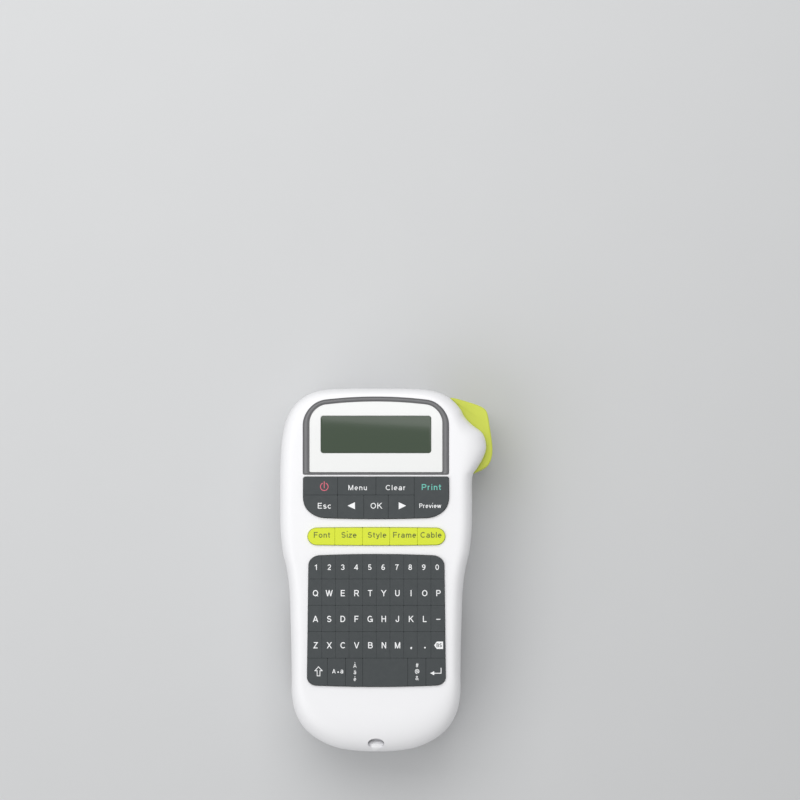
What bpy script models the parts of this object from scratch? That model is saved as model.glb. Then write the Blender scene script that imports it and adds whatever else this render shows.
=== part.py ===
"""Handheld label maker, built as an assembly of separate pieces.

Frame: +Z up out of the key face, +Y towards the screen end, +X to the right.
The origin is the middle of the flat face that the device lies on.
All sizes below are in millimetres; MM turns them into Blender's metres.
"""

import math

import bmesh
import bpy
from mathutils import Vector

MM = 0.001
GAP = 0.3  # clearance between neighbouring pieces

# ---------------------------------------------------------------- driving dimensions
Z_COVER_RIM = 12.0  # top edge of the removable back cover
Z_DECK = 14.7  # inner side of the rear housing's deck
Z_PARTING = 31.0  # joint between rear housing and front cover
Z_SHOULDER = 42.0  # where the front cover's face rounding starts
Z_FACE = 56.5  # flat part of the front face
Z_KEY_TOP = 58.0
WALL = 2.4
KEY_TRAVEL = 1.2

FACE_SCALE_X = 0.85  # flat face outline as a share of the body outline
FACE_SCALE_TOP = 0.947
FACE_SCALE_BOTTOM = 0.787

# Right half of the body outline, from the screen end to the battery end.
BODY_HALF = [
    (0, 103.6), (16, 103.5), (28, 102.9), (36.5, 101.0), (43, 97.3), (47.8, 92.2), (50.9, 86),
    (52.4, 80.5), (53.3, 75.5), (53.9, 70.5), (54.2, 65), (54.5, 58.5), (54.6, 52), (54.6, 38),
    (54.4, 24), (53.1, 11), (50.7, 0.5), (49.2, -12), (48.5, -26), (47.7, -42), (47.4, -58),
    (47.3, -71), (45.4, -81), (40.6, -89), (33, -95), (22.5, -99.8), (11, -102.5), (0, -103.4),
]
# The thumb guard over the cutter lever swells out of the right side between these points.
GUARD = {
    6: (50.4, 87.4), 7: (54.6, 83.0), 8: (60.7, 78.0), 9: (62.7, 70.6), 10: (61.0, 64.3),
    11: (57.6, 58.4), 12: (54.8, 53.2),
}

# Key blocks: x limits, y limits.
FUNCTION_BLOCK = (-41.4, 41.4, 29.3, 52.9)
FUNCTION_CORNER = 12.2
COLOUR_BLOCK = (-39.1, 39.1, 14.3, 24.2)
LETTER_BLOCK = (-38.9, 38.9, -65.7, 9.0)
LETTER_CORNER = 5.0
NUMBER_CORNER = 6.0
ROW_EDGES = (9.0, -4.9, -19.8, -34.7, -49.7, -65.7)
KEY_GAP = 0.4
WINDOW_GAP = 0.35
SMALL_CORNER = 0.6
Z_KEY_FLANGE = 52.4
Z_KEY_FLANGE_TOP = 53.7

# Screen
BEZEL = (-41.3, 41.3, 54.4, 98.3)
BEZEL_CORNER = 12.5
LENS = (-37.8, 37.8, 55.5, 95.9)
LENS_CORNER = 9.4
SCREEN_OPENING = (-31.3, 31.3, 66.5, 87.6)
ARCH_LENGTH = 480.0  # the screen's top edges drop by x * x / ARCH_LENGTH
Z_TRAY = 52.8

# Tape drive: the four gears stand in one straight line from the motor to the platen.
MODULE = 1.0
PINION_TEETH, IDLER_TEETH, TAKEUP_TEETH, PLATEN_TEETH = 8, 42, 20, 12
PLATEN_AXIS = Vector((38.7, 57.0))
TRAIN_ANGLE = math.radians(-10)
TRAIN_STEP = 0.03  # extra centre distance, for backlash
Z_GEAR = (28.0, 32.0)
ROLLER_RADIUS = 5.0
SHAFT_RADIUS = 1.5
ARM_PIVOT = Vector((41.3, 31.0))
CASSETTE = (-18.5, 31.5, 17.0, 87.0)
Z_CASSETTE = (6.0, 23.0)
TAPE_X = (33.1, 33.4)
Z_TAPE = (8.5, 20.5)
ROLL_CENTRE = Vector((4.0, 41.5))
Z_CHASSIS = (25.7, 27.2)

# Cutter
LEVER_PIVOT = Vector((50.2, 57.0))
LEVER_STUD = 1.5
Z_LEVER = (15.0, 41.5)
CUT_PLANE_Y = 91.0
BLADE_TIP_X = 36.9

# Power
CELL_RADIUS = 5.25
CELL_LENGTH = 44.5
CELL_PITCH = 11.3
CELL_Z = 17.8
BATTERY_BAY = (-34.6, 34.6, -66.6, -13.0)
JACK = (-50.8, -38.0, 30.0, 39.4)
JACK_AXIS = Vector((0, 34.7, 21.2))
SCREWS = [(-36.5, -80.0), (36.5, -80.0), (-47.3, 60.0)]

DIMPLE = (0.0, -99.2, 47.0)
DIMPLE_RADII = (6.0, 4.2, 4.4)

OUTLINE_STEPS = 1


# ---------------------------------------------------------------- outlines
def spline(points, steps):
    """Closed Catmull-Rom curve through the points, sampled `steps` times per span."""
    count = len(points)
    curve = []
    for i in range(count):
        a, b, c, d = (Vector(points[(i + k) % count]) for k in (-1, 0, 1, 2))
        for s in range(steps):
            t = s / steps
            curve.append(
                0.5 * (2 * b + (c - a) * t + (2 * a - 5 * b + 4 * c - d) * t**2 + (3 * b - a - 3 * c + d) * t**3)
            )
    return curve


def body_outline(guard=False, steps=OUTLINE_STEPS):
    """The whole body seen from the front, counter-clockwise from the middle of the screen end."""
    left = [(-x, y) for x, y in BODY_HALF]
    right = [GUARD.get(i, p) if guard else p for i, p in enumerate(BODY_HALF)]
    return spline(left + right[-2:0:-1], steps)


def face_outline(steps=OUTLINE_STEPS):
    """Edge of the flat part of the face, point for point with body_outline."""
    return [
        Vector((p.x * FACE_SCALE_X, p.y * (FACE_SCALE_TOP if p.y > 0 else FACE_SCALE_BOTTOM)))
        for p in body_outline(False, steps)
    ]


def inset(points, distance):
    """The closed counter-clockwise outline moved inwards along its normals."""
    count = len(points)
    moved = []
    for i, p in enumerate(points):
        along = (points[(i + 1) % count] - points[i - 1]).normalized()
        moved.append(p + Vector((-along.y, along.x)) * distance)
    return moved


def rounded_box(limits, radii, segments=5):
    """Rectangle outline with a radius per corner: right-top, left-top, left-bottom, right-bottom."""
    x0, x1, y0, y1 = limits
    corners = [(x1, y1, -1, -1), (x0, y1, 1, -1), (x0, y0, 1, 1), (x1, y0, -1, 1)]
    points = []
    for k, ((x, y, sx, sy), r) in enumerate(zip(corners, radii)):
        steps = segments if r > 1.5 else 2
        for s in range(steps + 1):
            angle = math.radians(90 * (k + s / steps))
            points.append(Vector((x + sx * r + r * math.cos(angle), y + sy * r + r * math.sin(angle))))
    return points


def arched(points):
    """The outline with its upper points dropped along a shallow arch."""
    middle = (BEZEL[2] + BEZEL[3]) / 2
    return [Vector((p.x, p.y - p.x**2 / ARCH_LENGTH)) if p.y > middle else p for p in points]


def grown(limits, by):
    x0, x1, y0, y1 = limits
    return (x0 - by, x1 + by, y0 - by, y1 + by)


def circle(centre, radius, segments=20, start=0.0):
    return [
        Vector((centre[0] + radius * math.cos(start + math.tau * i / segments),
                centre[1] + radius * math.sin(start + math.tau * i / segments)))
        for i in range(segments)
    ]


# ---------------------------------------------------------------- solids
def material(name, colour, roughness=0.5, metallic=0.0):
    made = bpy.data.materials.get(name)
    if made is None:
        made = bpy.data.materials.new(name)
        made.use_nodes = True
        shader = made.node_tree.nodes["Principled BSDF"]
        shader.inputs["Base Color"].default_value = (*colour, 1)
        shader.inputs["Roughness"].default_value = roughness
        shader.inputs["Metallic"].default_value = metallic
        made.diffuse_color = (*colour, 1)
    return made


def solid(name, build, colour=None, origin=(0, 0, 0), parent=None):
    """One mesh object. build(bm) adds geometry in millimetres; origin is where the object sits."""
    bm = bmesh.new()
    build(bm)
    bmesh.ops.recalc_face_normals(bm, faces=bm.faces)
    shift = Vector(origin)
    for v in bm.verts:
        v.co = (v.co - shift) * MM
    mesh = bpy.data.meshes.new(name)
    bm.to_mesh(mesh)
    bm.free()
    made = bpy.data.objects.new(name, mesh)
    made.location = shift * MM
    bpy.context.scene.collection.objects.link(made)
    if colour:
        mesh.materials.append(colour)
    if parent:
        made.parent = parent
    return made


def add_loft(bm, rings):
    """Closed solid through rings of equal point count; each ring is (outline, z)."""
    loops = [[bm.verts.new((p.x, p.y, z)) for p in outline] for outline, z in rings]
    count = len(loops[0])
    for low, high in zip(loops, loops[1:]):
        for i in range(count):
            bm.faces.new((low[i], low[(i + 1) % count], high[(i + 1) % count], high[i]))
    bm.faces.new(loops[0])
    bm.faces.new(loops[-1])


def add_prism(bm, outline, z0, z1):
    add_loft(bm, [(outline, z0), (outline, z1)])


def add_box(bm, limits, z0, z1):
    x0, x1, y0, y1 = limits
    add_prism(bm, [Vector(p) for p in ((x0, y0), (x1, y0), (x1, y1), (x0, y1))], z0, z1)


def add_rod_x(bm, x0, x1, centre, radius, segments=16):
    """Cylinder along X round the (y, z) centre."""
    ends = [
        [bm.verts.new((x, centre[0] + p.x, centre[1] + p.y)) for p in circle((0, 0), radius, segments)]
        for x in (x0, x1)
    ]
    for i in range(segments):
        bm.faces.new((ends[0][i], ends[0][(i + 1) % segments], ends[1][(i + 1) % segments], ends[1][i]))
    bm.faces.new(ends[0])
    bm.faces.new(ends[1])


def add_rod_y(bm, y0, y1, centre, radius, segments=16):
    """Cylinder along Y round the (x, z) centre."""
    ends = [
        [bm.verts.new((centre[0] + p.x, y, centre[1] + p.y)) for p in circle((0, 0), radius, segments)]
        for y in (y0, y1)
    ]
    for i in range(segments):
        bm.faces.new((ends[0][i], ends[0][(i + 1) % segments], ends[1][(i + 1) % segments], ends[1][i]))
    bm.faces.new(ends[0])
    bm.faces.new(ends[1])


def add_tube(bm, path, radius, axis, sides=5):
    """Round wire along a list of 3-D points that winds round the axis direction."""
    rings = []
    for i, p in enumerate(path):
        along = (path[min(i + 1, len(path) - 1)] - path[max(i - 1, 0)]).normalized()
        side = along.cross(Vector(axis)).normalized()
        up = side.cross(along)
        rings.append([
            bm.verts.new(p + side * radius * math.cos(a) + up * radius * math.sin(a))
            for a in (math.tau * k / sides for k in range(sides))
        ])
    for low, high in zip(rings, rings[1:]):
        for k in range(sides):
            bm.faces.new((low[k], low[(k + 1) % sides], high[(k + 1) % sides], high[k]))
    bm.faces.new(rings[0])
    bm.faces.new(rings[-1])


def add_egg(bm, centre, radii, around=16, up=8):
    """Ellipsoid with flat little caps above and below."""
    rings = []
    for k in range(1, up):
        angle = math.radians(-90 + 180 * k / up)
        ring = [
            Vector((centre[0] + radii[0] * math.cos(angle) * math.cos(math.tau * i / around),
                    centre[1] + radii[1] * math.cos(angle) * math.sin(math.tau * i / around)))
            for i in range(around)
        ]
        rings.append((ring, centre[2] + radii[2] * math.sin(angle)))
    add_loft(bm, rings)


def combine(target, other, operation):
    """Boolean of `other` into `target`; the helper stays hidden."""
    other.hide_render = True
    other.display_type = "WIRE"
    step = target.modifiers.new(other.name, "BOOLEAN")
    step.object = other
    step.operation = operation
    step.solver = "EXACT"
    return target


def cut(target, name, build):
    return combine(target, solid(name, build, origin=target.location / MM), "DIFFERENCE")


def fuse(target, name, build):
    return combine(target, solid(name, build, origin=target.location / MM), "UNION")


def empty(name, place=(0, 0, 0)):
    made = bpy.data.objects.new(name, None)
    made.location = Vector(place) * MM
    bpy.context.scene.collection.objects.link(made)
    return made


# ---------------------------------------------------------------- casing
def add_front_shell(bm, thickness, z_low):
    """Outer (thickness 0) or inner surface of the front cover as a solid."""
    wide = inset(body_outline(guard=True), thickness) if thickness else body_outline(guard=True)
    flat = inset(face_outline(), thickness * 0.4)
    top = Z_FACE - thickness
    rings = [(wide, z_low), (wide, Z_SHOULDER)]
    for degrees in (68, 46, 24, 0):
        share = math.sin(math.radians(degrees))
        height = math.cos(math.radians(degrees))
        outline = [f.lerp(w, share) for f, w in zip(flat, wide)]
        rings.append((outline, Z_SHOULDER + (top - Z_SHOULDER) * height))
    add_loft(bm, rings)


def lever_room():
    """Plan of the space that the cutter lever sweeps through at the top right corner."""
    return [
        Vector(p)
        for p in ((35.4, 110), (35.4, 93.8), (37.0, 87.0), (41.5, 86.4), (46.2, 81), (48.6, 73),
                  (46.7, 62), (46.7, 52.6), (72, 52.6), (72, 110))
    ]


def make_front_cover(white):
    cover = solid("front_cover", lambda bm: add_front_shell(bm, 0.0, Z_PARTING), white)
    cut(cover, "front_hollow", lambda bm: add_front_shell(bm, WALL, Z_PARTING - 1))

    bosses = solid("screw_bosses", lambda bm: [
        add_prism(bm, circle(p, 3.4, 14), Z_PARTING + 0.6, Z_FACE) for p in SCREWS])
    combine(bosses, solid("boss_limit", lambda bm: add_front_shell(bm, WALL / 2, Z_PARTING - 1)), "INTERSECT")
    combine(cover, bosses, "UNION")

    def boss_holes(bm):
        for x, y in SCREWS:
            add_prism(bm, circle((x, y), 1.6, 10), Z_PARTING - 1, 42)

    cut(cover, "boss_holes", boss_holes)

    def windows(bm):
        r = FUNCTION_CORNER + WINDOW_GAP
        low, high = LETTER_CORNER + WINDOW_GAP, NUMBER_CORNER + WINDOW_GAP
        tray = grown(BEZEL, WINDOW_GAP)
        add_prism(bm, arched(rounded_box(tray, (BEZEL_CORNER, BEZEL_CORNER, 1, 1))), 50, 60)
        add_prism(bm, rounded_box(grown(FUNCTION_BLOCK, WINDOW_GAP), (1, 1, r, r)), 50, 60)
        add_prism(bm, rounded_box(grown(COLOUR_BLOCK, WINDOW_GAP), (5.3,) * 4), 50, 60)
        add_prism(bm, rounded_box(grown(LETTER_BLOCK, WINDOW_GAP), (high, high, low, low)), 50, 60)

    cut(cover, "face_windows", windows)
    cut(cover, "front_lever_room", lambda bm: add_prism(bm, lever_room(), 25, Z_LEVER[1] + 0.8))

    backing = solid("dimple_backing", lambda bm: add_egg(bm, DIMPLE, [r + 1.8 for r in DIMPLE_RADII]))
    combine(backing, solid("dimple_limit", lambda bm: add_front_shell(bm, WALL / 2, Z_PARTING - 1)), "INTERSECT")
    combine(cover, backing, "UNION")
    cut(cover, "thumb_dimple", lambda bm: add_egg(bm, DIMPLE, DIMPLE_RADII))
    return cover


def pocket_boxes():
    """The cassette pocket: cassette well, platen well and cutter channel, open to the back."""
    return [(-19.6, 32.4, 16.2, 87.8), (31.5, 45.6, 24.0, 87.8), (31.9, 43.0, 88.7, 93.2)]


def make_rear_housing(white):
    outline = body_outline()
    lower = inset(outline, 1.0)
    housing = solid(
        "rear_housing",
        lambda bm: add_loft(bm, [(lower, Z_COVER_RIM + GAP), (outline, Z_PARTING - GAP)]),
        white,
    )
    cut(housing, "rear_hollow", lambda bm: add_loft(
        bm, [(inset(outline, WALL + 1.0), Z_DECK), (inset(outline, WALL), Z_PARTING + 1)]))

    fuse_each(housing, "raised_wells", [
        lambda bm: add_box(bm, (-21.6, 47.2, 14.2, 90.2), Z_DECK - 1, 25.4),
        lambda bm: add_box(bm, (28.0, 44.2, 86.0, 94.6), Z_DECK - 1.1, 25.3),
        lambda bm: add_box(bm, grown(BATTERY_BAY, 2.0), Z_DECK - 1.2, 25.4),
        screw_columns,
    ])
    for k, limits in enumerate(pocket_boxes()):
        cut(housing, f"pocket_{k}", lambda bm, limits=limits: add_box(bm, limits, 5, 23.4 - 0.02 * k))
    cut(housing, "battery_well", lambda bm: add_box(bm, BATTERY_BAY, 5, 23.4))
    cut(housing, "tape_channel", lambda bm: add_box(bm, (31.9, 34.7, 84, 110), 5, 21.6))
    cut(housing, "rear_lever_room", lambda bm: add_prism(bm, lever_room(), Z_DECK - 0.1, 45))

    def holes(bm):
        for x, y in SCREWS:
            add_prism(bm, circle((x, y), 1.8, 10), 11, 32)
        add_prism(bm, circle(takeup_axis(), 3.2, 14), 22, 27)
        add_prism(bm, rounded_box((34.6, 44.6, 53.2, 60.8), (3.6,) * 4), 22, 27)
        add_box(bm, (28.9, 32.6, 49.2, 64.8), 22, 27)
        add_box(bm, (-6.5, 6.5, -97.4, -93.6), 11, 16)
        add_rod_x(bm, -60, -48, (JACK_AXIS.y, JACK_AXIS.z), 3.7)

    cut(housing, "rear_holes", holes)
    cut(housing, "screw_seats", lambda bm: [add_prism(bm, circle(p, 3.1, 14), 11, 14.2) for p in SCREWS])
    fuse_each(housing, "pivot_studs", [
        lambda bm: add_prism(bm, circle(LEVER_PIVOT, LEVER_STUD, 14), Z_DECK - 1, 46.2),
        lambda bm: add_prism(bm, circle(ARM_PIVOT, 1.8, 14), 5.0, 24),
    ])
    return housing


def screw_columns(bm):
    for x, y in SCREWS:
        add_prism(bm, circle((x, y), 3.6, 14), Z_DECK - 1.3, Z_PARTING - 0.5)


def fuse_each(target, name, builders):
    for k, build in enumerate(builders):
        fuse(target, f"{name}_{k}", build)


ARCH_Y, ARCH_HALF, ARCH_RISE = -42.0, 36.0, 9.0
ARCH_RADIUS = (ARCH_HALF**2 + ARCH_RISE**2) / (2 * ARCH_RISE)


def add_cover_form(bm, thickness):
    outline = inset(body_outline(), 1.0 + thickness)
    top = Z_COVER_RIM + (1 if thickness else 0)
    add_loft(bm, [
        (inset(outline, 9.5), thickness),
        (inset(outline, 5.4), thickness + 0.7),
        (inset(outline, 2.0), thickness + 3.0),
        (inset(outline, 0.4), thickness + 6.5),
        (outline, max(top, thickness + 9.5)),
    ])


def make_back_cover(white, parent):
    cover = solid("back_cover", lambda bm: add_cover_form(bm, 0.0), white, parent=parent)
    hollow = solid("cover_hollow", lambda bm: add_cover_form(bm, 2.2))
    axis = (ARCH_Y, ARCH_RISE - ARCH_RADIUS)
    cut(cover, "grip_arch", lambda bm: add_rod_x(bm, -70, 70, axis, ARCH_RADIUS, 64))
    cut(hollow, "grip_arch_inner", lambda bm: add_rod_x(bm, -70, 70, axis, ARCH_RADIUS + 2.2, 64))
    combine(cover, hollow, "DIFFERENCE")
    fuse(cover, "cover_tab", lambda bm: add_box(bm, (-5.6, 5.6, -96.6, -94.4), 2, 17))
    cut(cover, "cover_tape_notch", lambda bm: add_box(bm, (31.9, 34.7, 90, 110), 7.5, 14))
    return cover


# ---------------------------------------------------------------- screen
def make_screen(grey, clear, glass):
    def tray(bm):
        add_prism(bm, arched(rounded_box(BEZEL, (BEZEL_CORNER, BEZEL_CORNER, 0.8, 0.8))), Z_TRAY, Z_FACE + 0.3)

    bezel = solid("screen_bezel", tray, grey)
    fuse(bezel, "bezel_flange", lambda bm: add_prism(
        bm, rounded_box((BEZEL[0] - 1, BEZEL[1] + 1, BEZEL[2] - 1, 83.5), (1,) * 4), Z_TRAY - 0.4, Z_TRAY + 0.5))
    cut(bezel, "lens_seat", lambda bm: add_prism(
        bm, arched(rounded_box(LENS, (LENS_CORNER, LENS_CORNER, 1, 1))), 54.4, 60))
    cut(bezel, "screen_hole", lambda bm: add_box(bm, grown(SCREEN_OPENING, 1.2), 50, 56))
    solid("screen_window", lambda bm: add_prism(
        bm, arched(rounded_box(grown(LENS, -GAP), (LENS_CORNER - GAP,) * 2 + (0.8, 0.8))), 54.7, Z_FACE), clear)
    solid("lcd_panel", lambda bm: add_box(bm, grown(SCREEN_OPENING, 4.0), 50.3, 52.1), glass)


def make_board(green, rubber):
    shape = [(-43, -69), (43, -69), (43, 50), (38, 56), (38, 92), (-35, 92), (-35, 56), (-43, 50)]
    solid("main_board", lambda bm: add_prism(bm, [Vector(p) for p in shape], 47.6, 49.2), green)
    mat = solid("keypad_mat", lambda bm: add_box(bm, (-42.5, 42.5, -67, 54), 49.5, 50.3), rubber)

    def domes(bm):
        """A low round dome under every single key, and a ridge under every joined row."""
        for limits in single_key_cells():
            x, y = (limits[0] + limits[1]) / 2, (limits[2] + limits[3]) / 2
            add_loft(bm, [(circle((x, y), 2.6, 8), 50.2), (circle((x, y), 1.7, 8), 50.9)])
        for low, high in zip(ROW_EDGES[1:5], ROW_EDGES):
            y = (low + high) / 2
            ridge = (LETTER_BLOCK[0] + 2, LETTER_BLOCK[1] - 2, y - 1.8, y + 1.8)
            add_loft(bm, [(rounded_box(ridge, (1.4,) * 4), 50.2),
                          (rounded_box(grown(ridge, -0.8), (1.0,) * 4), 50.9)])

    fuse(mat, "domes", domes)


# ---------------------------------------------------------------- keys
FUNCTION_KEYS = {
    "key_power": (-41.4, -21.7, 42.7, 52.9),
    "key_menu": (-21.7, 0.0, 42.7, 52.9),
    "key_clear": (0.0, 21.7, 42.7, 52.9),
    "key_print": (21.7, 41.4, 29.3, 52.9),
    "key_escape": (-41.4, -21.7, 29.3, 42.7),
    "key_left": (-21.7, -6.9, 29.3, 42.7),
    "key_ok": (-6.9, 7.0, 29.3, 42.7),
    "key_right": (7.0, 21.7, 29.3, 42.7),
}
COLOUR_EDGES = (-39.1, -23.3, -7.6, 7.8, 23.5, 39.1)
COLOUR_NAMES = ("key_font", "key_size", "key_style", "key_frame", "key_cable")
BOTTOM_EDGES = (-38.9, -27.5, -17.2, -7.5, 18.0, 28.3, 38.9)
BOTTOM_NAMES = ("key_shift", "key_caps", "key_accent", "key_space", "key_symbol", "key_enter")
ROW_NAMES = ("number_row_keys", "upper_letter_keys", "middle_letter_keys", "lower_letter_keys")
COLUMNS = 10


def single_key_cells():
    cells = list(FUNCTION_KEYS.values())
    cells += [(a, b, COLOUR_BLOCK[2], COLOUR_BLOCK[3]) for a, b in zip(COLOUR_EDGES, COLOUR_EDGES[1:])]
    cells += [(a, b, ROW_EDGES[5], ROW_EDGES[4]) for a, b in zip(BOTTOM_EDGES, BOTTOM_EDGES[1:])]
    return cells


def corner_radii(limits, block, radius, top=SMALL_CORNER):
    """A key keeps the block's big corner where it fills one."""
    x0, x1, y0, y1 = limits
    bx0, bx1, by0, by1 = block
    right, left = abs(x1 - bx1) < 0.1, abs(x0 - bx0) < 0.1
    high, low = abs(y1 - by1) < 0.1, abs(y0 - by0) < 0.1
    return (
        top if right and high else SMALL_CORNER,
        top if left and high else SMALL_CORNER,
        radius if left and low else SMALL_CORNER,
        radius if right and low else SMALL_CORNER,
    )


def make_key(name, limits, block, radius, top, colour, parent):
    """A cap with a foot flange, free to sink KEY_TRAVEL along -Z."""
    x0, x1, y0, y1 = limits
    bx0, bx1, by0, by1 = block
    half = KEY_GAP / 2
    cap = (
        x0 if abs(x0 - bx0) < 0.1 else x0 + half,
        x1 if abs(x1 - bx1) < 0.1 else x1 - half,
        y0 if abs(y0 - by0) < 0.1 else y0 + half,
        y1 if abs(y1 - by1) < 0.1 else y1 - half,
    )
    radii = corner_radii(limits, block, radius, top)
    edge = 0.5
    inner = tuple(max(r - edge, 0.3) for r in radii)

    def build(bm):
        add_loft(bm, [
            (rounded_box(cap, radii), Z_KEY_FLANGE),
            (rounded_box(cap, radii), Z_KEY_TOP - edge),
            (rounded_box(grown(cap, -edge), inner), Z_KEY_TOP),
        ])

    centre = ((cap[0] + cap[1]) / 2, (cap[2] + cap[3]) / 2, Z_KEY_TOP)
    return solid(name, build, colour, origin=centre, parent=parent)


def make_row(name, low, high, colour, parent):
    """Ten keys of one row on a common web, cut apart by grooves above it."""
    x0, x1 = LETTER_BLOCK[0], LETTER_BLOCK[1]
    width = (x1 - x0) / COLUMNS
    y0, y1 = low + KEY_GAP / 2, high - (KEY_GAP / 2 if high < LETTER_BLOCK[3] else 0)
    comb = [(x0, Z_KEY_FLANGE), (x1, Z_KEY_FLANGE)]
    for k in reversed(range(COLUMNS)):
        left = x0 + k * width + (KEY_GAP / 2 if k else 0)
        right = x0 + (k + 1) * width - (KEY_GAP / 2 if k < COLUMNS - 1 else 0)
        comb += [(right, Z_KEY_TOP - 0.5), (right - 0.5, Z_KEY_TOP), (left + 0.5, Z_KEY_TOP),
                 (left, Z_KEY_TOP - 0.5)]
        if k:
            comb += [(left, Z_KEY_FLANGE_TOP), (left - KEY_GAP, Z_KEY_FLANGE_TOP)]

    def build(bm):
        ends = [[bm.verts.new((x, y, z)) for x, z in comb] for y in (y0, y1)]
        count = len(comb)
        for i in range(count):
            bm.faces.new((ends[0][i], ends[0][(i + 1) % count], ends[1][(i + 1) % count], ends[1][i]))
        bm.faces.new(ends[0])
        bm.faces.new(ends[1])

    row = solid(name, build, colour, origin=(0, (y0 + y1) / 2, Z_KEY_TOP), parent=parent)
    if high >= LETTER_BLOCK[3]:
        # The number row carries the block's two upper corners.
        frame = rounded_box((x0, x1, y0 - 1, y1), (NUMBER_CORNER, NUMBER_CORNER, 0.1, 0.1))
        corner = solid("upper_corners", lambda bm: add_prism(bm, frame, 50, 60), origin=row.location / MM)
        combine(row, corner, "INTERSECT")
    return row


def make_keys(dark, lime, parent):
    for name, limits in FUNCTION_KEYS.items():
        make_key(name, limits, FUNCTION_BLOCK, FUNCTION_CORNER, 1.0, dark, parent)
    for name, a, b in zip(COLOUR_NAMES, COLOUR_EDGES, COLOUR_EDGES[1:]):
        limits = (a, b, COLOUR_BLOCK[2], COLOUR_BLOCK[3])
        make_key(name, limits, COLOUR_BLOCK, 4.95, 4.95, lime, parent)
    for name, low, high in zip(ROW_NAMES, ROW_EDGES[1:], ROW_EDGES):
        make_row(name, low, high, dark, parent)
    for name, a, b in zip(BOTTOM_NAMES, BOTTOM_EDGES, BOTTOM_EDGES[1:]):
        make_key(name, (a, b, ROW_EDGES[5], ROW_EDGES[4]), LETTER_BLOCK, LETTER_CORNER, 1.0, dark, parent)


# ---------------------------------------------------------------- tape drive
def pitch_radius(teeth):
    return MODULE * teeth / 2


def train_axis(teeth_between):
    """Point on the gear line, the given pitch diameters back from the platen."""
    back = sum(pitch_radius(n) for n in teeth_between) + TRAIN_STEP * len(teeth_between) / 2
    return PLATEN_AXIS - back * Vector((math.cos(TRAIN_ANGLE), math.sin(TRAIN_ANGLE)))


def takeup_axis():
    return train_axis((PLATEN_TEETH, TAKEUP_TEETH))


def idler_axis():
    return train_axis((PLATEN_TEETH, TAKEUP_TEETH, TAKEUP_TEETH, IDLER_TEETH))


def motor_axis():
    return train_axis((PLATEN_TEETH, TAKEUP_TEETH, TAKEUP_TEETH, IDLER_TEETH, IDLER_TEETH, PINION_TEETH))


def gear_outline(centre, teeth, tooth_faces_left):
    """Straight-flanked teeth, four points each. A tooth, or a gap, points back along the gear line."""
    pitch = pitch_radius(teeth)
    tip, root = pitch + 0.7 * MODULE, pitch - MODULE
    step = math.tau / teeth
    first = TRAIN_ANGLE + math.pi + (0 if tooth_faces_left else step / 2)
    half_pitch = math.pi * MODULE / 4 - 0.15
    slope = math.tan(math.radians(20))
    points = []
    for k in range(teeth):
        angle = first + k * step
        for radius, side in ((root, -1), (tip, -1), (tip, 1), (root, 1)):
            half = half_pitch - (radius - pitch) * slope
            turn = angle + side * half / radius
            points.append(Vector((centre[0] + radius * math.cos(turn), centre[1] + radius * math.sin(turn))))
    return points


def make_gear(name, axis, teeth, tooth_faces_left, bore, colour, parent=None):
    gear = solid(
        name, lambda bm: add_prism(bm, gear_outline(axis, teeth, tooth_faces_left), *Z_GEAR), colour,
        origin=(axis.x, axis.y, Z_GEAR[0]), parent=parent,
    )
    if bore:
        cut(gear, name + "_bore", lambda bm: add_prism(bm, circle(axis, bore, 14), 20, 40))
    return gear


def make_drive(steel, plastic, rubber, board, parent):
    """Chassis, motor, gear train, take-up spindle and platen."""
    takeup, idler, motor = takeup_axis(), idler_axis(), motor_axis()
    chassis = solid("chassis_plate", lambda bm: add_box(bm, (-43.2, 45.4, 44, 82), *Z_CHASSIS), steel)

    def chassis_holes(bm):
        add_prism(bm, circle(motor, 3.0, 14), 20, 30)
        add_prism(bm, circle(takeup, 3.0, 14), 20, 30)
        add_prism(bm, rounded_box((34.6, 44.4, 53.2, 60.8), (3.6,) * 4), 20, 30)

    cut(chassis, "chassis_holes", chassis_holes)
    fuse(chassis, "idler_stud", lambda bm: add_prism(bm, circle(idler, 2.0, 14), 26, 33.5))

    can = solid("drive_motor", lambda bm: add_prism(bm, circle(motor, 10, 24), Z_DECK + GAP, 25.4), steel)
    cut(can, "motor_bore", lambda bm: add_prism(bm, circle(motor, 1.3, 10), 18, 30))

    pinion = make_gear("motor_pinion", motor, PINION_TEETH, True, None, plastic, parent)
    fuse(pinion, "motor_shaft", lambda bm: add_prism(bm, circle(motor, 0.95, 10), 18.4, 29))
    make_gear("idler_gear", idler, IDLER_TEETH, False, 2.3, plastic, parent)
    # The idler shows a gap on both sides, so the pinion and the take-up gear show it a tooth.
    spindle = make_gear("takeup_spindle", takeup, TAKEUP_TEETH, True, None, plastic, parent)
    fuse(spindle, "takeup_shaft", lambda bm: add_prism(bm, circle(takeup, 2.3, 12), 8.5, 29))
    make_gear("platen_gear", PLATEN_AXIS, PLATEN_TEETH, False, SHAFT_RADIUS + GAP, plastic, parent)

    roller = solid(
        "platen_roller", lambda bm: add_prism(bm, circle(PLATEN_AXIS, ROLLER_RADIUS, 28), 8.2, 21.0), rubber,
        origin=(*PLATEN_AXIS, 8.2), parent=parent,
    )
    fuse(roller, "platen_shaft", lambda bm: add_prism(bm, circle(PLATEN_AXIS, SHAFT_RADIUS, 14), 5.2, 34.0))
    make_arm(plastic, parent)

    solid("head_heatsink", lambda bm: add_box(bm, (29.3, 31.8, 49.6, 64.4), 7.4, 25.4), steel)
    solid("print_head", lambda bm: add_box(bm, (32.1, 32.8, 50.4, 63.6), 7.8, 21.6), board)


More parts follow.
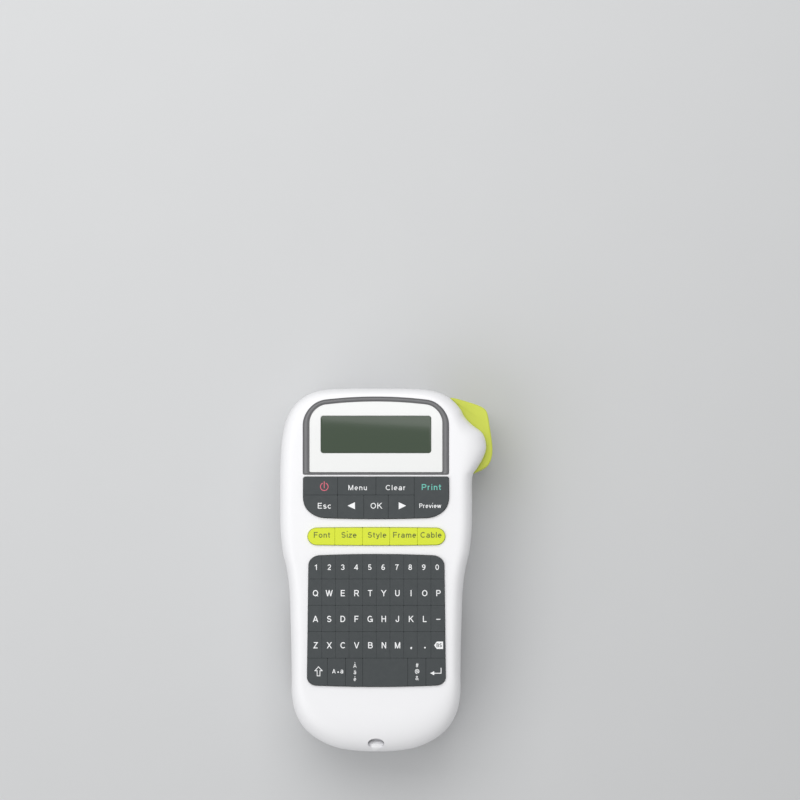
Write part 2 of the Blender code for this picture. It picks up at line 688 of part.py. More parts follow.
def make_arm(plastic, parent):
    """Two bars from the pivot to the roller's shaft, joined by a tube round the pivot."""
    along = (PLATEN_AXIS - ARM_PIVOT).normalized()
    across = Vector((-along.y, along.x))
    bar = [ARM_PIVOT - across * 3.2, PLATEN_AXIS - across * 3.2 + along * 3.4,
           PLATEN_AXIS + across * 3.2 + along * 3.4, ARM_PIVOT + across * 3.2]
    arm = solid("platen_arm", lambda bm: add_prism(bm, circle(ARM_PIVOT, 3.8, 16), 5.9, 23.0), plastic,
                origin=(*ARM_PIVOT, 5.9), parent=parent)
    fuse(arm, "lower_bar", lambda bm: add_prism(bm, bar, 6.0, 7.7))
    fuse(arm, "upper_bar", lambda bm: add_prism(bm, bar, 21.4, 22.9))
    cut(arm, "arm_pivot_bore", lambda bm: add_prism(bm, circle(ARM_PIVOT, 2.1, 14), 4, 24))
    cut(arm, "arm_shaft_bores", lambda bm: add_prism(bm, circle(PLATEN_AXIS, SHAFT_RADIUS + 0.1, 14), 4, 24))


def make_cassette(case_colour, tape_colour, parent):
    case = solid("cassette_case", lambda bm: add_prism(
        bm, rounded_box(CASSETTE, (2, 2, 2, 2)), *Z_CASSETTE), case_colour)
    cut(case, "roll_chamber", lambda bm: add_prism(bm, circle(ROLL_CENTRE, 20.4, 32), 5, 19.2))
    cut(case, "hub_hole", lambda bm: add_prism(bm, circle(takeup_axis(), 4.2, 14), 5, 24))
    cut(case, "head_notch", lambda bm: add_box(bm, (28.6, 33, 48.6, 65.4), 5, 24))
    solid("tape_roll", lambda bm: add_prism(bm, circle(ROLL_CENTRE, 19.6, 32), 6.9, 18.6), tape_colour,
          origin=(*ROLL_CENTRE, 6.9), parent=parent)
    solid("label_tape", lambda bm: add_box(bm, (*TAPE_X, 38, CUT_PLANE_Y - 0.6), *Z_TAPE), tape_colour)


# ---------------------------------------------------------------- cutter
def lever_outline():
    """Lime lever seen from the front: round the pivot, out under the thumb guard and up to the corner."""
    knuckle = [
        LEVER_PIVOT + 3.2 * Vector((math.cos(a), math.sin(a)))
        for a in (math.radians(d) for d in (160, 195, 230, 265, 300))
    ]
    rest = [(60, 57.2), (64.6, 60.4), (66.3, 66), (66.2, 72), (65.0, 80), (63.9, 87.5), (62.9, 91.2),
            (59.8, 93.6), (52, 96.2), (42.6, 98.8), (41.5, 97.5), (43.5, 94), (42.0, 92.2), (42.0, 89.8),
            (46.5, 87.5), (50.6, 81), (52.4, 73), (50.6, 64)]
    return knuckle + [Vector(p) for p in rest]


def make_cutter(lime, steel, plastic, parent):
    lever = solid("cutter_lever", lambda bm: add_prism(bm, lever_outline(), *Z_LEVER), lime,
                  origin=(*LEVER_PIVOT, Z_LEVER[0]), parent=parent)
    cut(lever, "lever_bore", lambda bm: add_prism(bm, circle(LEVER_PIVOT, LEVER_STUD + GAP, 14), 10, 50))

    carrier = solid("blade_carrier", lambda bm: add_box(bm, (38.3, 41.6, 89.2, 92.7), 8.2, 22.5), plastic,
                    origin=(40.0, CUT_PLANE_Y, 15), parent=parent)
    cut(carrier, "blade_slot", lambda bm: add_box(bm, (38, 41.0, CUT_PLANE_Y - 0.55, CUT_PLANE_Y + 0.55), 5, 25))

    def blade(bm):
        tip, back, half = BLADE_TIP_X, 40.7, 0.25
        plan = [(tip, CUT_PLANE_Y), (tip + 1.2, CUT_PLANE_Y - half), (back, CUT_PLANE_Y - half),
                (back, CUT_PLANE_Y + half), (tip + 1.2, CUT_PLANE_Y + half)]
        add_prism(bm, [Vector(p) for p in plan], 8.4, 22.1)

    solid("cutter_blade", blade, steel, origin=(BLADE_TIP_X, CUT_PLANE_Y, 15), parent=parent)

    def spring(bm):
        turns, start, pitch, radius = 3, 43.0, 0.9, 2.15
        steps = 8
        path = [Vector((LEVER_PIVOT.x - radius, LEVER_PIVOT.y - 6.0, start))]
        for k in range(turns * steps + 1):
            a = math.pi + math.tau * k / steps
            path.append(Vector((LEVER_PIVOT.x + radius * math.cos(a), LEVER_PIVOT.y + radius * math.sin(a),
                                start + pitch * k / steps)))
        path.append(Vector((LEVER_PIVOT.x - radius, LEVER_PIVOT.y - 7.0, start + pitch * turns)))
        add_tube(bm, path, 0.28, (0, 0, 1))

    solid("lever_spring", spring, steel)


# ---------------------------------------------------------------- power and fasteners
def cell_x(k):
    return (k - 2.5) * CELL_PITCH


def make_power(cell_colour, steel, plastic):
    middle = (BATTERY_BAY[2] + BATTERY_BAY[3]) / 2
    for k in range(6):
        points_up = k % 2 == 0
        y0, y1 = middle - CELL_LENGTH / 2, middle + CELL_LENGTH / 2
        cap = (y1 - 0.2, y1 + 0.8) if points_up else (y0 - 0.8, y0 + 0.2)
        cell = solid(f"battery_cell_{k + 1}", lambda bm, k=k: add_rod_y(
            bm, y0, y1, (cell_x(k), CELL_Z), CELL_RADIUS, 18), cell_colour)
        fuse(cell, f"cell_cap_{k + 1}", lambda bm, k=k, cap=cap: add_rod_y(
            bm, *cap, (cell_x(k), CELL_Z), 1.9, 10))

    for name, wall, inward, first in (("battery_contacts_upper", BATTERY_BAY[3], -1, 1),
                                      ("battery_contacts_lower", BATTERY_BAY[2], 1, 0)):
        y_wall, y_face = wall + inward * GAP, wall + inward * (GAP + 0.8)
        plate = solid(name, lambda bm: add_box(
            bm, (-33.6, 33.6, min(y_wall, y_face), max(y_wall, y_face)), 13.4, 22.6), steel)
        for k in range(first, 6, 2):
            def coil(bm, k=k):
                path = []
                for s in range(17):
                    a, rise = math.tau * s / 8, s / 16
                    radius = 3.6 - 1.5 * rise
                    path.append(Vector((cell_x(k) + radius * math.cos(a),
                                        y_face + inward * (2.3 * rise - 0.2),
                                        CELL_Z + radius * math.sin(a))))
                add_tube(bm, path, 0.35, (0, 1, 0), 4)
            fuse(plate, f"{name}_coil_{k}", coil)

    block = solid("dc_jack", lambda bm: add_box(bm, JACK, 17.0, 25.4), plastic)
    cut(block, "jack_socket", lambda bm: add_rod_x(bm, -53, -41, (JACK_AXIS.y, JACK_AXIS.z), 3.15))
    fuse(block, "jack_pin", lambda bm: add_rod_x(bm, -46.4, -40, (JACK_AXIS.y, JACK_AXIS.z), 0.95, 10))


def make_screws(steel):
    for k, (x, y) in enumerate(SCREWS):
        screw = solid(f"case_screw_{k + 1}", lambda bm: add_loft(bm, [
            (circle((x, y), 2.2, 14), 12.9),
            (circle((x, y), 2.7, 14), 13.3),
            (circle((x, y), 2.7, 14), 13.9),
        ]), steel)
        fuse(screw, f"shank_{k + 1}", lambda bm: add_prism(bm, circle((x, y), 1.25, 10), 13.8, 36))
        cut(screw, f"cross_{k + 1}", lambda bm: (
            add_box(bm, (x - 1.4, x + 1.4, y - 0.3, y + 0.3), 12, 13.5)))


# ---------------------------------------------------------------- assembly
def main():
    for old in list(bpy.data.objects):
        bpy.data.objects.remove(old)

    white = material("white_shell", (0.88, 0.88, 0.89), 0.35)
    grey = material("bezel_grey", (0.18, 0.18, 0.18), 0.4)
    clear = material("lens_clear", (0.85, 0.86, 0.85), 0.08)
    glass = material("lcd_glass", (0.06, 0.08, 0.06), 0.15)
    dark = material("key_dark", (0.07, 0.075, 0.08), 0.6)
    lime = material("lime_plastic", (0.72, 0.88, 0.05), 0.45)
    steel = material("steel", (0.6, 0.6, 0.62), 0.3, 1.0)
    nylon = material("gear_nylon", (0.8, 0.8, 0.76), 0.5)
    black = material("black_plastic", (0.03, 0.03, 0.03), 0.5)
    rubber = material("roller_rubber", (0.03, 0.03, 0.03), 0.8)
    green = material("circuit_board", (0.03, 0.2, 0.08), 0.5)
    ceramic = material("head_ceramic", (0.75, 0.73, 0.68), 0.3)
    case_grey = material("cassette_plastic", (0.45, 0.46, 0.47), 0.4)
    tape = material("label_tape_white", (0.9, 0.9, 0.88), 0.4)
    cell = material("battery_wrap", (0.12, 0.13, 0.15), 0.3)

    lift = empty("back_cover_lift")
    keys = empty("key_travel")
    drive = empty("tape_drive")
    cutter = empty("cutter")

    make_front_cover(white)
    make_rear_housing(white)
    make_back_cover(white, lift)
    make_screen(grey, clear, glass)
    make_board(green, rubber)
    make_keys(dark, lime, keys)
    make_drive(steel, nylon, rubber, ceramic, drive)
    make_cassette(case_grey, tape, drive)
    make_cutter(lime, steel, black, cutter)
    make_power(cell, steel, black)
    make_screws(steel)


main()
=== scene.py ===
"""Finished look of the handheld label maker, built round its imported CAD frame.

Sizes are in millimetres in the CAD frame, unless a comment says otherwise: +Z is out of the key face and
+Y is towards the screen end. Boxes in the plan are (x0, x1, y0, y1).
"""

import math

import bmesh
import bpy
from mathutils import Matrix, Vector


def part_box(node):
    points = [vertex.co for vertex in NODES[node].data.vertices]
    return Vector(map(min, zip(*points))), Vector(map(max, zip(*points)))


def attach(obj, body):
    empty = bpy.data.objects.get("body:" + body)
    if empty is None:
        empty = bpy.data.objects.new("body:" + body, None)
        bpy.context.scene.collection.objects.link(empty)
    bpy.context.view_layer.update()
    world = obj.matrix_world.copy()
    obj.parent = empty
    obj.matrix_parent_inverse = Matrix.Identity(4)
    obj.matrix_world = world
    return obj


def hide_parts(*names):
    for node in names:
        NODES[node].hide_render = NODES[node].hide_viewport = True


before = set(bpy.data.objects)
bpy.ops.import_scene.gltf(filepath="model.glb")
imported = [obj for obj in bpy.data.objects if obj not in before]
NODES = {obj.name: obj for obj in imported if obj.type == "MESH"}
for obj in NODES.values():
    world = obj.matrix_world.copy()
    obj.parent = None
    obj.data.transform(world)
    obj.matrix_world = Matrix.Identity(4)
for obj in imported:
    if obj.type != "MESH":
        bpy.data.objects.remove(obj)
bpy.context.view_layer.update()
MM = 0.001

# ---- driving dimensions
Z_COVER_RIM = 12.0
Z_DECK = 14.7
Z_PARTING = 31.0
Z_SHOULDER = 42.0
Z_FACE = 56.5
CAP_TOP = 57.85
WALL = 2.4
GAP = 0.3
FACE_SCALE_X = 0.85
FACE_SCALE_TOP = 0.947
FACE_SCALE_BOTTOM = 0.787
KEEP_INSIDE = 0.9996  # a spline swings a hair past its points, and this pulls the outline back inside the CAD part's box
FULLNESS = 0.76  # 1 gives an elliptic shoulder, less gives a fuller one
FINE = 8  # outline samples per span on outside surfaces
COARSE = 2  # and on surfaces hidden inside

BODY_HALF = [
    (0, 103.6), (16, 103.5), (28, 102.9), (36.5, 101.0), (43, 97.3), (47.8, 92.2), (50.9, 86),
    (52.4, 80.5), (53.3, 75.5), (53.9, 70.5), (54.2, 65), (54.5, 58.5), (54.6, 52), (54.6, 38),
    (54.4, 24), (53.1, 11), (50.7, 0.5), (49.2, -12), (48.7, -26), (48.2, -42), (48.0, -58),
    (47.8, -71), (45.6, -81), (40.8, -89.3), (33, -95.8), (22.5, -100.4), (11, -102.3), (0, -102.7),
]
GUARD = {
    6: (50.4, 87.4), 7: (54.6, 83.0), 8: (60.7, 78.0), 9: (62.7, 70.6), 10: (61.0, 64.3),
    11: (57.6, 58.4), 12: (54.8, 53.2),
}

FUNCTION_BLOCK = (-41.1, 41.2, 29.3, 52.9)
FUNCTION_CORNER = 12.2
COLOUR_BLOCK = (-38.6, 39.1, 14.3, 24.2)
LETTER_BLOCK = (-38.4, 38.9, -65.7, 9.0)
LETTER_CORNER = 5.0
NUMBER_CORNER = 6.0
ROW_EDGES = (9.0, -4.9, -19.8, -34.7, -49.7, -65.7)
BEZEL = (-41.3, 41.3, 54.4, 98.3)
BEZEL_CORNER = 12.5
LENS = (-37.8, 37.8, 55.5, 95.9)
LENS_CORNER = 9.4
SCREEN_OPENING = (-31.3, 31.3, 66.5, 87.6)
ARCH_LENGTH = 480.0  # the screen's upper edge falls by x * x / ARCH_LENGTH
ARCH_FROM, ARCH_OVER = 59.0, 25.0  # its sides take up the fall from this height on, over this length
NOTCH = (0.0, -98.1)
NOTCH_RADII = (4.7, 2.9)
NOTCH_FLOOR = 46.5
NOTCH_BACKING = (7.4, 4.4, 4.9)  # radii of the egg behind the notch
NOTCH_CUSHION = (5.6, 3.0, 4.0)  # and of the egg whose top is its floor
LEVER_PIVOT = Vector((50.2, 57.0))
LEVER_STUD = 1.5
ARM_PIVOT = Vector((41.3, 31.0))
TAKEUP_AXIS = Vector((22.9135, 59.7836))
JACK_AXIS = Vector((34.7, 21.2))  # y and z
BATTERY_BAY = (-34.6, 34.6, -66.6, -13.0)
POCKETS = [(-19.6, 32.4, 16.2, 87.8), (31.5, 45.6, 24.0, 87.8), (31.9, 43.0, 88.7, 93.2)]
CASSETTE_ROOM = (-21.6, 47.2, 14.2, 90.2)
CUTTER_ROOM = (28.0, 44.2, 86.0, 94.6)
POCKET_ROOF = 23.4
ROOM_TOP = 25.4
TAPE_SLOT = (31.9, 34.7, 84.0, 110.0)
SCREWS = [(-36.5, -80.0), (36.5, -80.0), (-47.3, 60.0)]
BOSS_TOPS = (52.0, 52.0, 48.0)  # top of each screw's boss in the front half


# ---- outlines
def spline(points, steps):
    """Closed Catmull-Rom curve through the points, sampled `steps` times per span."""
    count = len(points)
    curve = []
    for i in range(count):
        a, b, c, d = (Vector(points[(i + k) % count]) for k in (-1, 0, 1, 2))
        for s in range(steps):
            t = s / steps
            bend, twist = 2 * a - 5 * b + 4 * c - d, 3 * b - a - 3 * c + d
            curve.append(0.5 * (2 * b + (c - a) * t + bend * t**2 + twist * t**3))
    return curve


def body_outline(guard, steps):
    left = [(-x, y) for x, y in BODY_HALF]
    right = [GUARD.get(i, p) if guard else p for i, p in enumerate(BODY_HALF)]
    return [p * KEEP_INSIDE for p in spline(left + right[-2:0:-1], steps)]


def face_outline(steps):
    return [
        Vector((p.x * FACE_SCALE_X, p.y * (FACE_SCALE_TOP if p.y > 0 else FACE_SCALE_BOTTOM)))
        for p in body_outline(False, steps)
    ]


def inset(points, distance):
    count = len(points)
    moved = []
    for i, p in enumerate(points):
        along = (points[(i + 1) % count] - points[i - 1]).normalized()
        moved.append(p + Vector((-along.y, along.x)) * distance)
    return moved


def rounded_box(limits, radii, segments=12, runs=1):
    """Rectangle with rounded corners; each straight run is cut into `runs` pieces."""
    x0, x1, y0, y1 = limits
    corners = [(x1, y1, -1, -1), (x0, y1, 1, -1), (x0, y0, 1, 1), (x1, y0, -1, 1)]
    arcs = []
    for k, ((x, y, sx, sy), r) in enumerate(zip(corners, radii)):
        arcs.append([
            Vector((x + sx * r + r * math.cos(a), y + sy * r + r * math.sin(a)))
            for a in (math.radians(90 * (k + s / segments)) for s in range(segments + 1))
        ])
    points = []
    for bend, following in zip(arcs, arcs[1:] + arcs[:1]):
        points += bend + [bend[-1].lerp(following[0], s / runs) for s in range(1, runs)]
    return points


def arched(points):
    """Bows the upper edge of a screen outline."""
    def share(y):
        return max(0.0, min(1.0, (y - ARCH_FROM) / ARCH_OVER))

    return [Vector((p.x, p.y - share(p.y) * p.x**2 / ARCH_LENGTH)) for p in points]


def grown(limits, by):
    x0, x1, y0, y1 = limits
    return (x0 - by, x1 + by, y0 - by, y1 + by)


def circle(centre, radius, segments=32):
    return [
        Vector((centre[0] + radius * math.cos(math.tau * i / segments),
                centre[1] + radius * math.sin(math.tau * i / segments)))
        for i in range(segments)
    ]


def quarter_round(steps, first=0):
    """Quarter circle of radius 1 as (inwards, upwards) pairs, from (0, 0) to (1, 1)."""
    angles = [math.radians(90 * k / steps) for k in range(first, steps + 1)]
    return [(1 - math.cos(a), math.sin(a)) for a in angles]


def rounded(points, passes=2):
    """Rounds an outline by cutting a quarter of each side off both its ends."""
    for _ in range(passes):
        points = [p.lerp(q, t) for p, q in zip(points, points[1:] + points[:1]) for t in (0.25, 0.75)]
    return points


def half_plane(polygon, axis, limit, keep):
    """The part of a polygon above (keep 1) or below (keep -1) a limit on one axis, as pairs of numbers."""
    kept = []
    for p, q in zip(polygon, polygon[1:] + polygon[:1]):
        inside, next_inside = (p[axis] - limit) * keep >= 0, (q[axis] - limit) * keep >= 0
        if inside:
            kept.append((p[0], p[1]))
        if inside != next_inside:
            share = (limit - p[axis]) / (q[axis] - p[axis])
            kept.append((p[0] + (q[0] - p[0]) * share, p[1] + (q[1] - p[1]) * share))
    return kept


# ---- solids
def link(name, data):
    made = bpy.data.objects.new(name, data)
    bpy.context.scene.collection.objects.link(made)
    return made


def solid(name, add, *values):
    """One mesh object from add(bm, *values), which works in millimetres."""
    bm = bmesh.new()
    add(bm, *values)
    bmesh.ops.recalc_face_normals(bm, faces=bm.faces)
    for v in bm.verts:
        v.co *= MM
    mesh = bpy.data.meshes.new(name)
    bm.to_mesh(mesh)
    bm.free()
    return link(name, mesh)


def join(bm, loops, band=False):
    """Faces between rings of vertices. A band's last ring joins its first; otherwise both ends are closed."""
    count = len(loops[0])
    for low, high in zip(loops, loops[1:] + loops[:1] if band else loops[1:]):
        for i in range(count):
            bm.faces.new((low[i], low[(i + 1) % count], high[(i + 1) % count], high[i]))
    if not band:
        bm.faces.new(loops[0])
        bm.faces.new(loops[-1])


def add_loft(bm, rings, band=False):
    """Surface through level outlines: each ring is an outline and its height."""
    join(bm, [[bm.verts.new((p.x, p.y, z)) for p in outline] for outline, z in rings], band)


def add_prism(bm, outline, z0, z1):
    add_loft(bm, [(outline, z0), (outline, z1)])


def add_box(bm, limits, z0, z1):
    x0, x1, y0, y1 = limits
    add_prism(bm, [Vector(p) for p in ((x0, y0), (x1, y0), (x1, y1), (x0, y1))], z0, z1)


def add_rod_x(bm, x0, x1, centre, radius, segments=32):
    section = circle((0, 0), radius, segments)
    join(bm, [[bm.verts.new((x, centre[0] + p.x, centre[1] + p.y)) for p in section] for x in (x0, x1)])


def add_egg(bm, centre, radii, around=40, up=20):
    """Ellipsoid with a small flat at its lowest and highest point."""
    rings = []
    for k in range(1, up):
        angle = math.radians(-90 + 180 * k / up)
        ring = [
            Vector((centre[0] + radii[0] * math.cos(angle) * math.cos(math.tau * i / around),
                    centre[1] + radii[1] * math.cos(angle) * math.sin(math.tau * i / around)))
            for i in range(around)
        ]
        rings.append((ring, centre[2] + radii[2] * math.sin(angle)))
    add_loft(bm, rings)


def combine(target, other, operation):
    """Adds a Boolean to the target, to be applied by settle()."""
    step = target.modifiers.new(other.name, "BOOLEAN")
    step.object = other
    step.operation = operation
    step.solver = "EXACT"
    HELPERS.append(other)


HELPERS = []
TINY_EDGE = 1e-7  # metres: a cut can leave edges of no length


def cut(target, add, *values):
    combine(target, solid(target.name + "_tool", add, *values), "DIFFERENCE")


def weld(target, add, *values):
    combine(target, solid(target.name + "_tool", add, *values), "UNION")


def settle(obj):
    """Applies the modifiers, removes edges of no length, and removes the helpers that the modifiers used."""
    graph = bpy.context.evaluated_depsgraph_get()
    graph.update()
    mesh = bpy.data.meshes.new_from_object(obj.evaluated_get(graph))
    bm = bmesh.new()
    bm.from_mesh(mesh)
    bmesh.ops.dissolve_degenerate(bm, dist=TINY_EDGE, edges=bm.edges)
    bm.to_mesh(mesh)
    bm.free()
    obj.modifiers.clear()
    obj.data = mesh
    while HELPERS:
        bpy.data.objects.remove(HELPERS.pop())
    return obj


def smooth(obj, degrees=32):
    obj.data.shade_smooth()
    obj.data.set_sharp_from_angle(angle=math.radians(degrees))
    normals = obj.modifiers.new("normals", "WEIGHTED_NORMAL")
    normals.keep_sharp = True
    return obj


def place(obj, body, material, replaces=()):
    obj.data.materials.clear()
    obj.data.materials.append(material)
    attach(obj, body)
    if replaces:
        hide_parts(*replaces)
    return obj


# ---- materials
def linear(*rgb):
    """Scene-linear colour with alpha, from an sRGB colour of 0 to 255."""
    return tuple(
        (c / 255 / 12.92) if c <= 10 else ((c / 255 + 0.055) / 1.055) ** 2.4 for c in rgb
    ) + (1,)


def fill(node, values):
    for socket, value in values.items():
        node.inputs[socket].default_value = value


SLOW_PATCH = 22.0  # size of the patches in which a surface's colour drifts


def plastic(name, rgb, roughness, grain=0.35, depth=0.006, drift=0.03, coat=0.0, metallic=0.0,
            gloss_drift=0.06, specular=0.5, coat_roughness=0.06):
    """Surface with fine grain in its bump and a slow drift in its colour and gloss.

    grain and depth are the size and height of the grain; drift and gloss_drift are the most that the colour
    (as a share) and the roughness change.
    """
    made = bpy.data.materials.new(name)
    made.use_nodes = True
    nodes, links = made.node_tree.nodes, made.node_tree.links
    shader = nodes["Principled BSDF"]
    fill(shader, {"Metallic": metallic, "Coat Weight": coat, "Coat Roughness": coat_roughness,
                  "Specular IOR Level": specular})
    coordinates = nodes.new("ShaderNodeTexCoord")

    def noise(size, detail):
        made_noise = nodes.new("ShaderNodeTexNoise")
        fill(made_noise, {"Scale": 1 / (size * MM), "Detail": detail})
        links.new(coordinates.outputs["Object"], made_noise.inputs["Vector"])
        return made_noise.outputs["Fac"]

    slow, fine = noise(SLOW_PATCH, 3), noise(grain, 2)
    mix = nodes.new("ShaderNodeMix")
    mix.data_type = "RGBA"
    base = linear(*rgb)
    fill(mix, {
        socket: tuple(min(1, c * change) for c in base[:3]) + (1,)
        for socket, change in (("A", 1 - drift), ("B", 1 + drift))
    })
    links.new(slow, mix.inputs["Factor"])
    links.new(mix.outputs["Result"], shader.inputs["Base Color"])
    ramp = nodes.new("ShaderNodeMapRange")
    fill(ramp, {"From Min": 0.3, "From Max": 0.7, "To Min": max(0.02, roughness - gloss_drift),
                "To Max": min(1, roughness + gloss_drift)})
    links.new(noise(grain * 12, 4), ramp.inputs["Value"])
    links.new(ramp.outputs["Result"], shader.inputs["Roughness"])
    bump = nodes.new("ShaderNodeBump")
    fill(bump, {"Strength": 1.0, "Distance": depth * MM})
    links.new(fine, bump.inputs["Height"])
    links.new(bump.outputs["Normal"], shader.inputs["Normal"])
    return made


WHITE = plastic("white_plastic", (244, 244, 246), 0.34, grain=0.25, depth=0.004, drift=0.008)
GREY = plastic("bezel_grey", (116, 116, 118), 0.38, grain=0.2, depth=0.003)
PLATE = plastic("printed_plate", (238, 239, 238), 0.3, grain=0.4, depth=0.0006, drift=0.003, coat=0.5,
                gloss_drift=0.01)
LCD = plastic("lcd_face", (65, 78, 63), 0.5, grain=1.0, depth=0.0, drift=0.008, coat=1.0, gloss_drift=0.004,
              specular=0.0, coat_roughness=0.035)
DARK = plastic("key_rubber", (61, 66, 68), 0.62, grain=0.3, depth=0.008, drift=0.05)
LIME = plastic("lime_rubber", (216, 228, 44), 0.5, grain=0.3, depth=0.006, drift=0.02)
LEVER = plastic("lime_lever", (206, 216, 74), 0.45, grain=0.25, depth=0.006, drift=0.02)
LEGEND, TEAL, ROSE, OLIVE = (
    plastic(f"legend_{ink}", rgb, 0.5, grain=0.2, depth=0.001, drift=0.01)
    for ink, rgb in (("white", (246, 247, 248)), ("teal", (112, 206, 190)), ("rose", (222, 104, 124)),
                     ("olive", (106, 116, 46)))
)
BLACK = plastic("black_plastic", (38, 38, 40), 0.45)
RUBBER = plastic("roller_rubber", (34, 34, 35), 0.75, grain=0.4, depth=0.012)
NYLON = plastic("gear_nylon", (228, 226, 214), 0.4, grain=0.3, depth=0.004)
STEEL = plastic("plated_steel", (176, 177, 180), 0.28, grain=0.15, depth=0.002, metallic=1.0)
BOARD = plastic("circuit_board", (26, 92, 52), 0.4, grain=0.6, depth=0.01, drift=0.12)
CERAMIC = plastic("head_ceramic", (222, 216, 204), 0.25, grain=0.3, depth=0.002)
CASSETTE = plastic("cassette_grey", (172, 174, 176), 0.42, grain=0.3, depth=0.006)
TAPE = plastic("tape_film", (240, 240, 236), 0.3, grain=0.4, depth=0.002, drift=0.02)
CELL = plastic("cell_wrap", (52, 56, 62), 0.25, grain=1.2, depth=0.001, drift=0.08, coat=0.5)


# ---- casing
FACE_WALL_SHARE = 0.4  # the flat face's outline is moved in by this share of the wall
WINDOW_GAP = 0.16
LIP = 0.35
CUT_FROM, CUT_TO = 50.0, 60.0  # heights between which a cutter goes through the face


def add_front_shell(bm, thickness, z_low, steps, profile):
    """Domed front half, moved in by the thickness: straight side, rounded shoulder of `profile` rings."""
    wide = body_outline(True, steps)
    flat = face_outline(steps)
    if thickness:
        wide, flat = inset(wide, thickness), inset(flat, thickness * FACE_WALL_SHARE)
    top = Z_FACE - thickness
    rings = [(wide, z_low), (wide, Z_SHOULDER)]
    for k in reversed(range(profile)):
        angle = math.radians(90 * k / profile)
        share, height = math.sin(angle) ** FULLNESS, math.cos(angle) ** FULLNESS
        outline = [f.lerp(w, share) for f, w in zip(flat, wide)]
        rings.append((outline, Z_SHOULDER + (top - Z_SHOULDER) * height))
    add_loft(bm, rings)


def add_lipped(bm, shape):
    """Window cutter whose upper edge flares in a quarter round. shape(by) is the outline grown by `by`."""
    rings = [(shape(0), CUT_FROM), (shape(0), Z_FACE - LIP)]
    rings += [(shape(LIP * out), Z_FACE - LIP + LIP * up) for out, up in quarter_round(5, 1)]
    rings.append((shape(LIP), CUT_TO))
    add_loft(bm, rings)


def lever_room():
    """The room in which the lever swings, open at the corner of the casing."""
    return [
        Vector(p)
        for p in ((35.4, 110), (35.4, 93.8), (37.0, 87.0), (41.5, 86.4), (46.2, 81), (48.6, 73),
                  (46.7, 62), (46.7, 52.6), (72, 52.6), (72, 110))
    ]


BOW = 1500.0
BOW_REACH = 6.0  # a bow fades out over this distance from its edge
LETTER_TAPER = 0.00031  # the letter block widens by this share of its width per mm downwards


def block_shape(limits, radii, bows=(1.0, 1.0), taper=0.0):
    """Outline of a key block. Its lower and upper edges fall back by x * x / BOW times their bow."""
    low, high = limits[2:]
    middle = (low + high) / 2

    def near(distance):
        return max(0.0, 1 - distance / BOW_REACH)

    def shape(by=0.0):
        moved = []
        for p in rounded_box(grown(limits, by), [r + by for r in radii], 12, 24):
            share = bows[1] * near(high - p.y) - bows[0] * near(p.y - low)
            moved.append(Vector((p.x * (1 + taper * (middle - p.y)), p.y - share * p.x**2 / BOW)))
        return moved

    return shape


FUNCTION_SHAPE = block_shape(FUNCTION_BLOCK, (1.0, 1.0, FUNCTION_CORNER, FUNCTION_CORNER), (1.0, 0.0))
COLOUR_SHAPE = block_shape(COLOUR_BLOCK, (4.9,) * 4, (0.3, 0.3))
LETTER_SHAPE = block_shape(
    LETTER_BLOCK, (NUMBER_CORNER, NUMBER_CORNER, LETTER_CORNER, LETTER_CORNER), (1.0, 1.0), LETTER_TAPER)


def screen_shape(limits, upper, lower, by):
    """Outline of a screen part, with two upper and two lower corner radii, grown by `by`."""
    radii = [r + by for r in (upper, upper, lower, lower)]
    return arched(rounded_box(grown(limits, by), radii, 16, 24))


def bezel_shape(by=0.0):
    return screen_shape(BEZEL, BEZEL_CORNER, 0.8, by)


def lens_shape(by=0.0):
    return screen_shape(LENS, LENS_CORNER, 1.0, by)


def add_notch(case):
    """Nail notch in the rounded end: a well with a steep upper wall and a floor that rises outwards."""
    x, y = NOTCH
    well = [Vector((x + NOTCH_RADII[0] * p.x, y + NOTCH_RADII[1] * p.y)) for p in circle((0, 0), 1.0, 48)]
    weld(case, add_egg, (x, y + 1.8, NOTCH_FLOOR + 1.1), NOTCH_BACKING)
    cut(case, add_prism, well, NOTCH_FLOOR, CUT_TO)
    weld(case, add_egg, (x, y - 1.2, NOTCH_FLOOR + 0.1), NOTCH_CUSHION)


BOSS_RADIUS, PILOT_RADIUS = 3.4, 1.6
BOSS_FOOT = Z_PARTING + 0.6
LEVER_ROOM_TOP = 42.3


def make_front():
    case = solid("case_front", add_front_shell, 0.0, Z_PARTING, FINE, 14)
    cut(case, add_front_shell, WALL, Z_PARTING - 1, COARSE, 5)
    for screw, top in zip(SCREWS, BOSS_TOPS):
        weld(case, add_prism, circle(screw, BOSS_RADIUS, 24), BOSS_FOOT, top)
        cut(case, add_prism, circle(screw, PILOT_RADIUS, 16), Z_PARTING - 1, Z_SHOULDER)
    for shape in (bezel_shape, FUNCTION_SHAPE, COLOUR_SHAPE, LETTER_SHAPE):
        cut(case, add_lipped, lambda by: shape(WINDOW_GAP + by))
    cut(case, add_prism, lever_room(), 25, LEVER_ROOM_TOP)
    add_notch(case)
    place(smooth(settle(case)), "housing", WHITE, ["front_cover"])


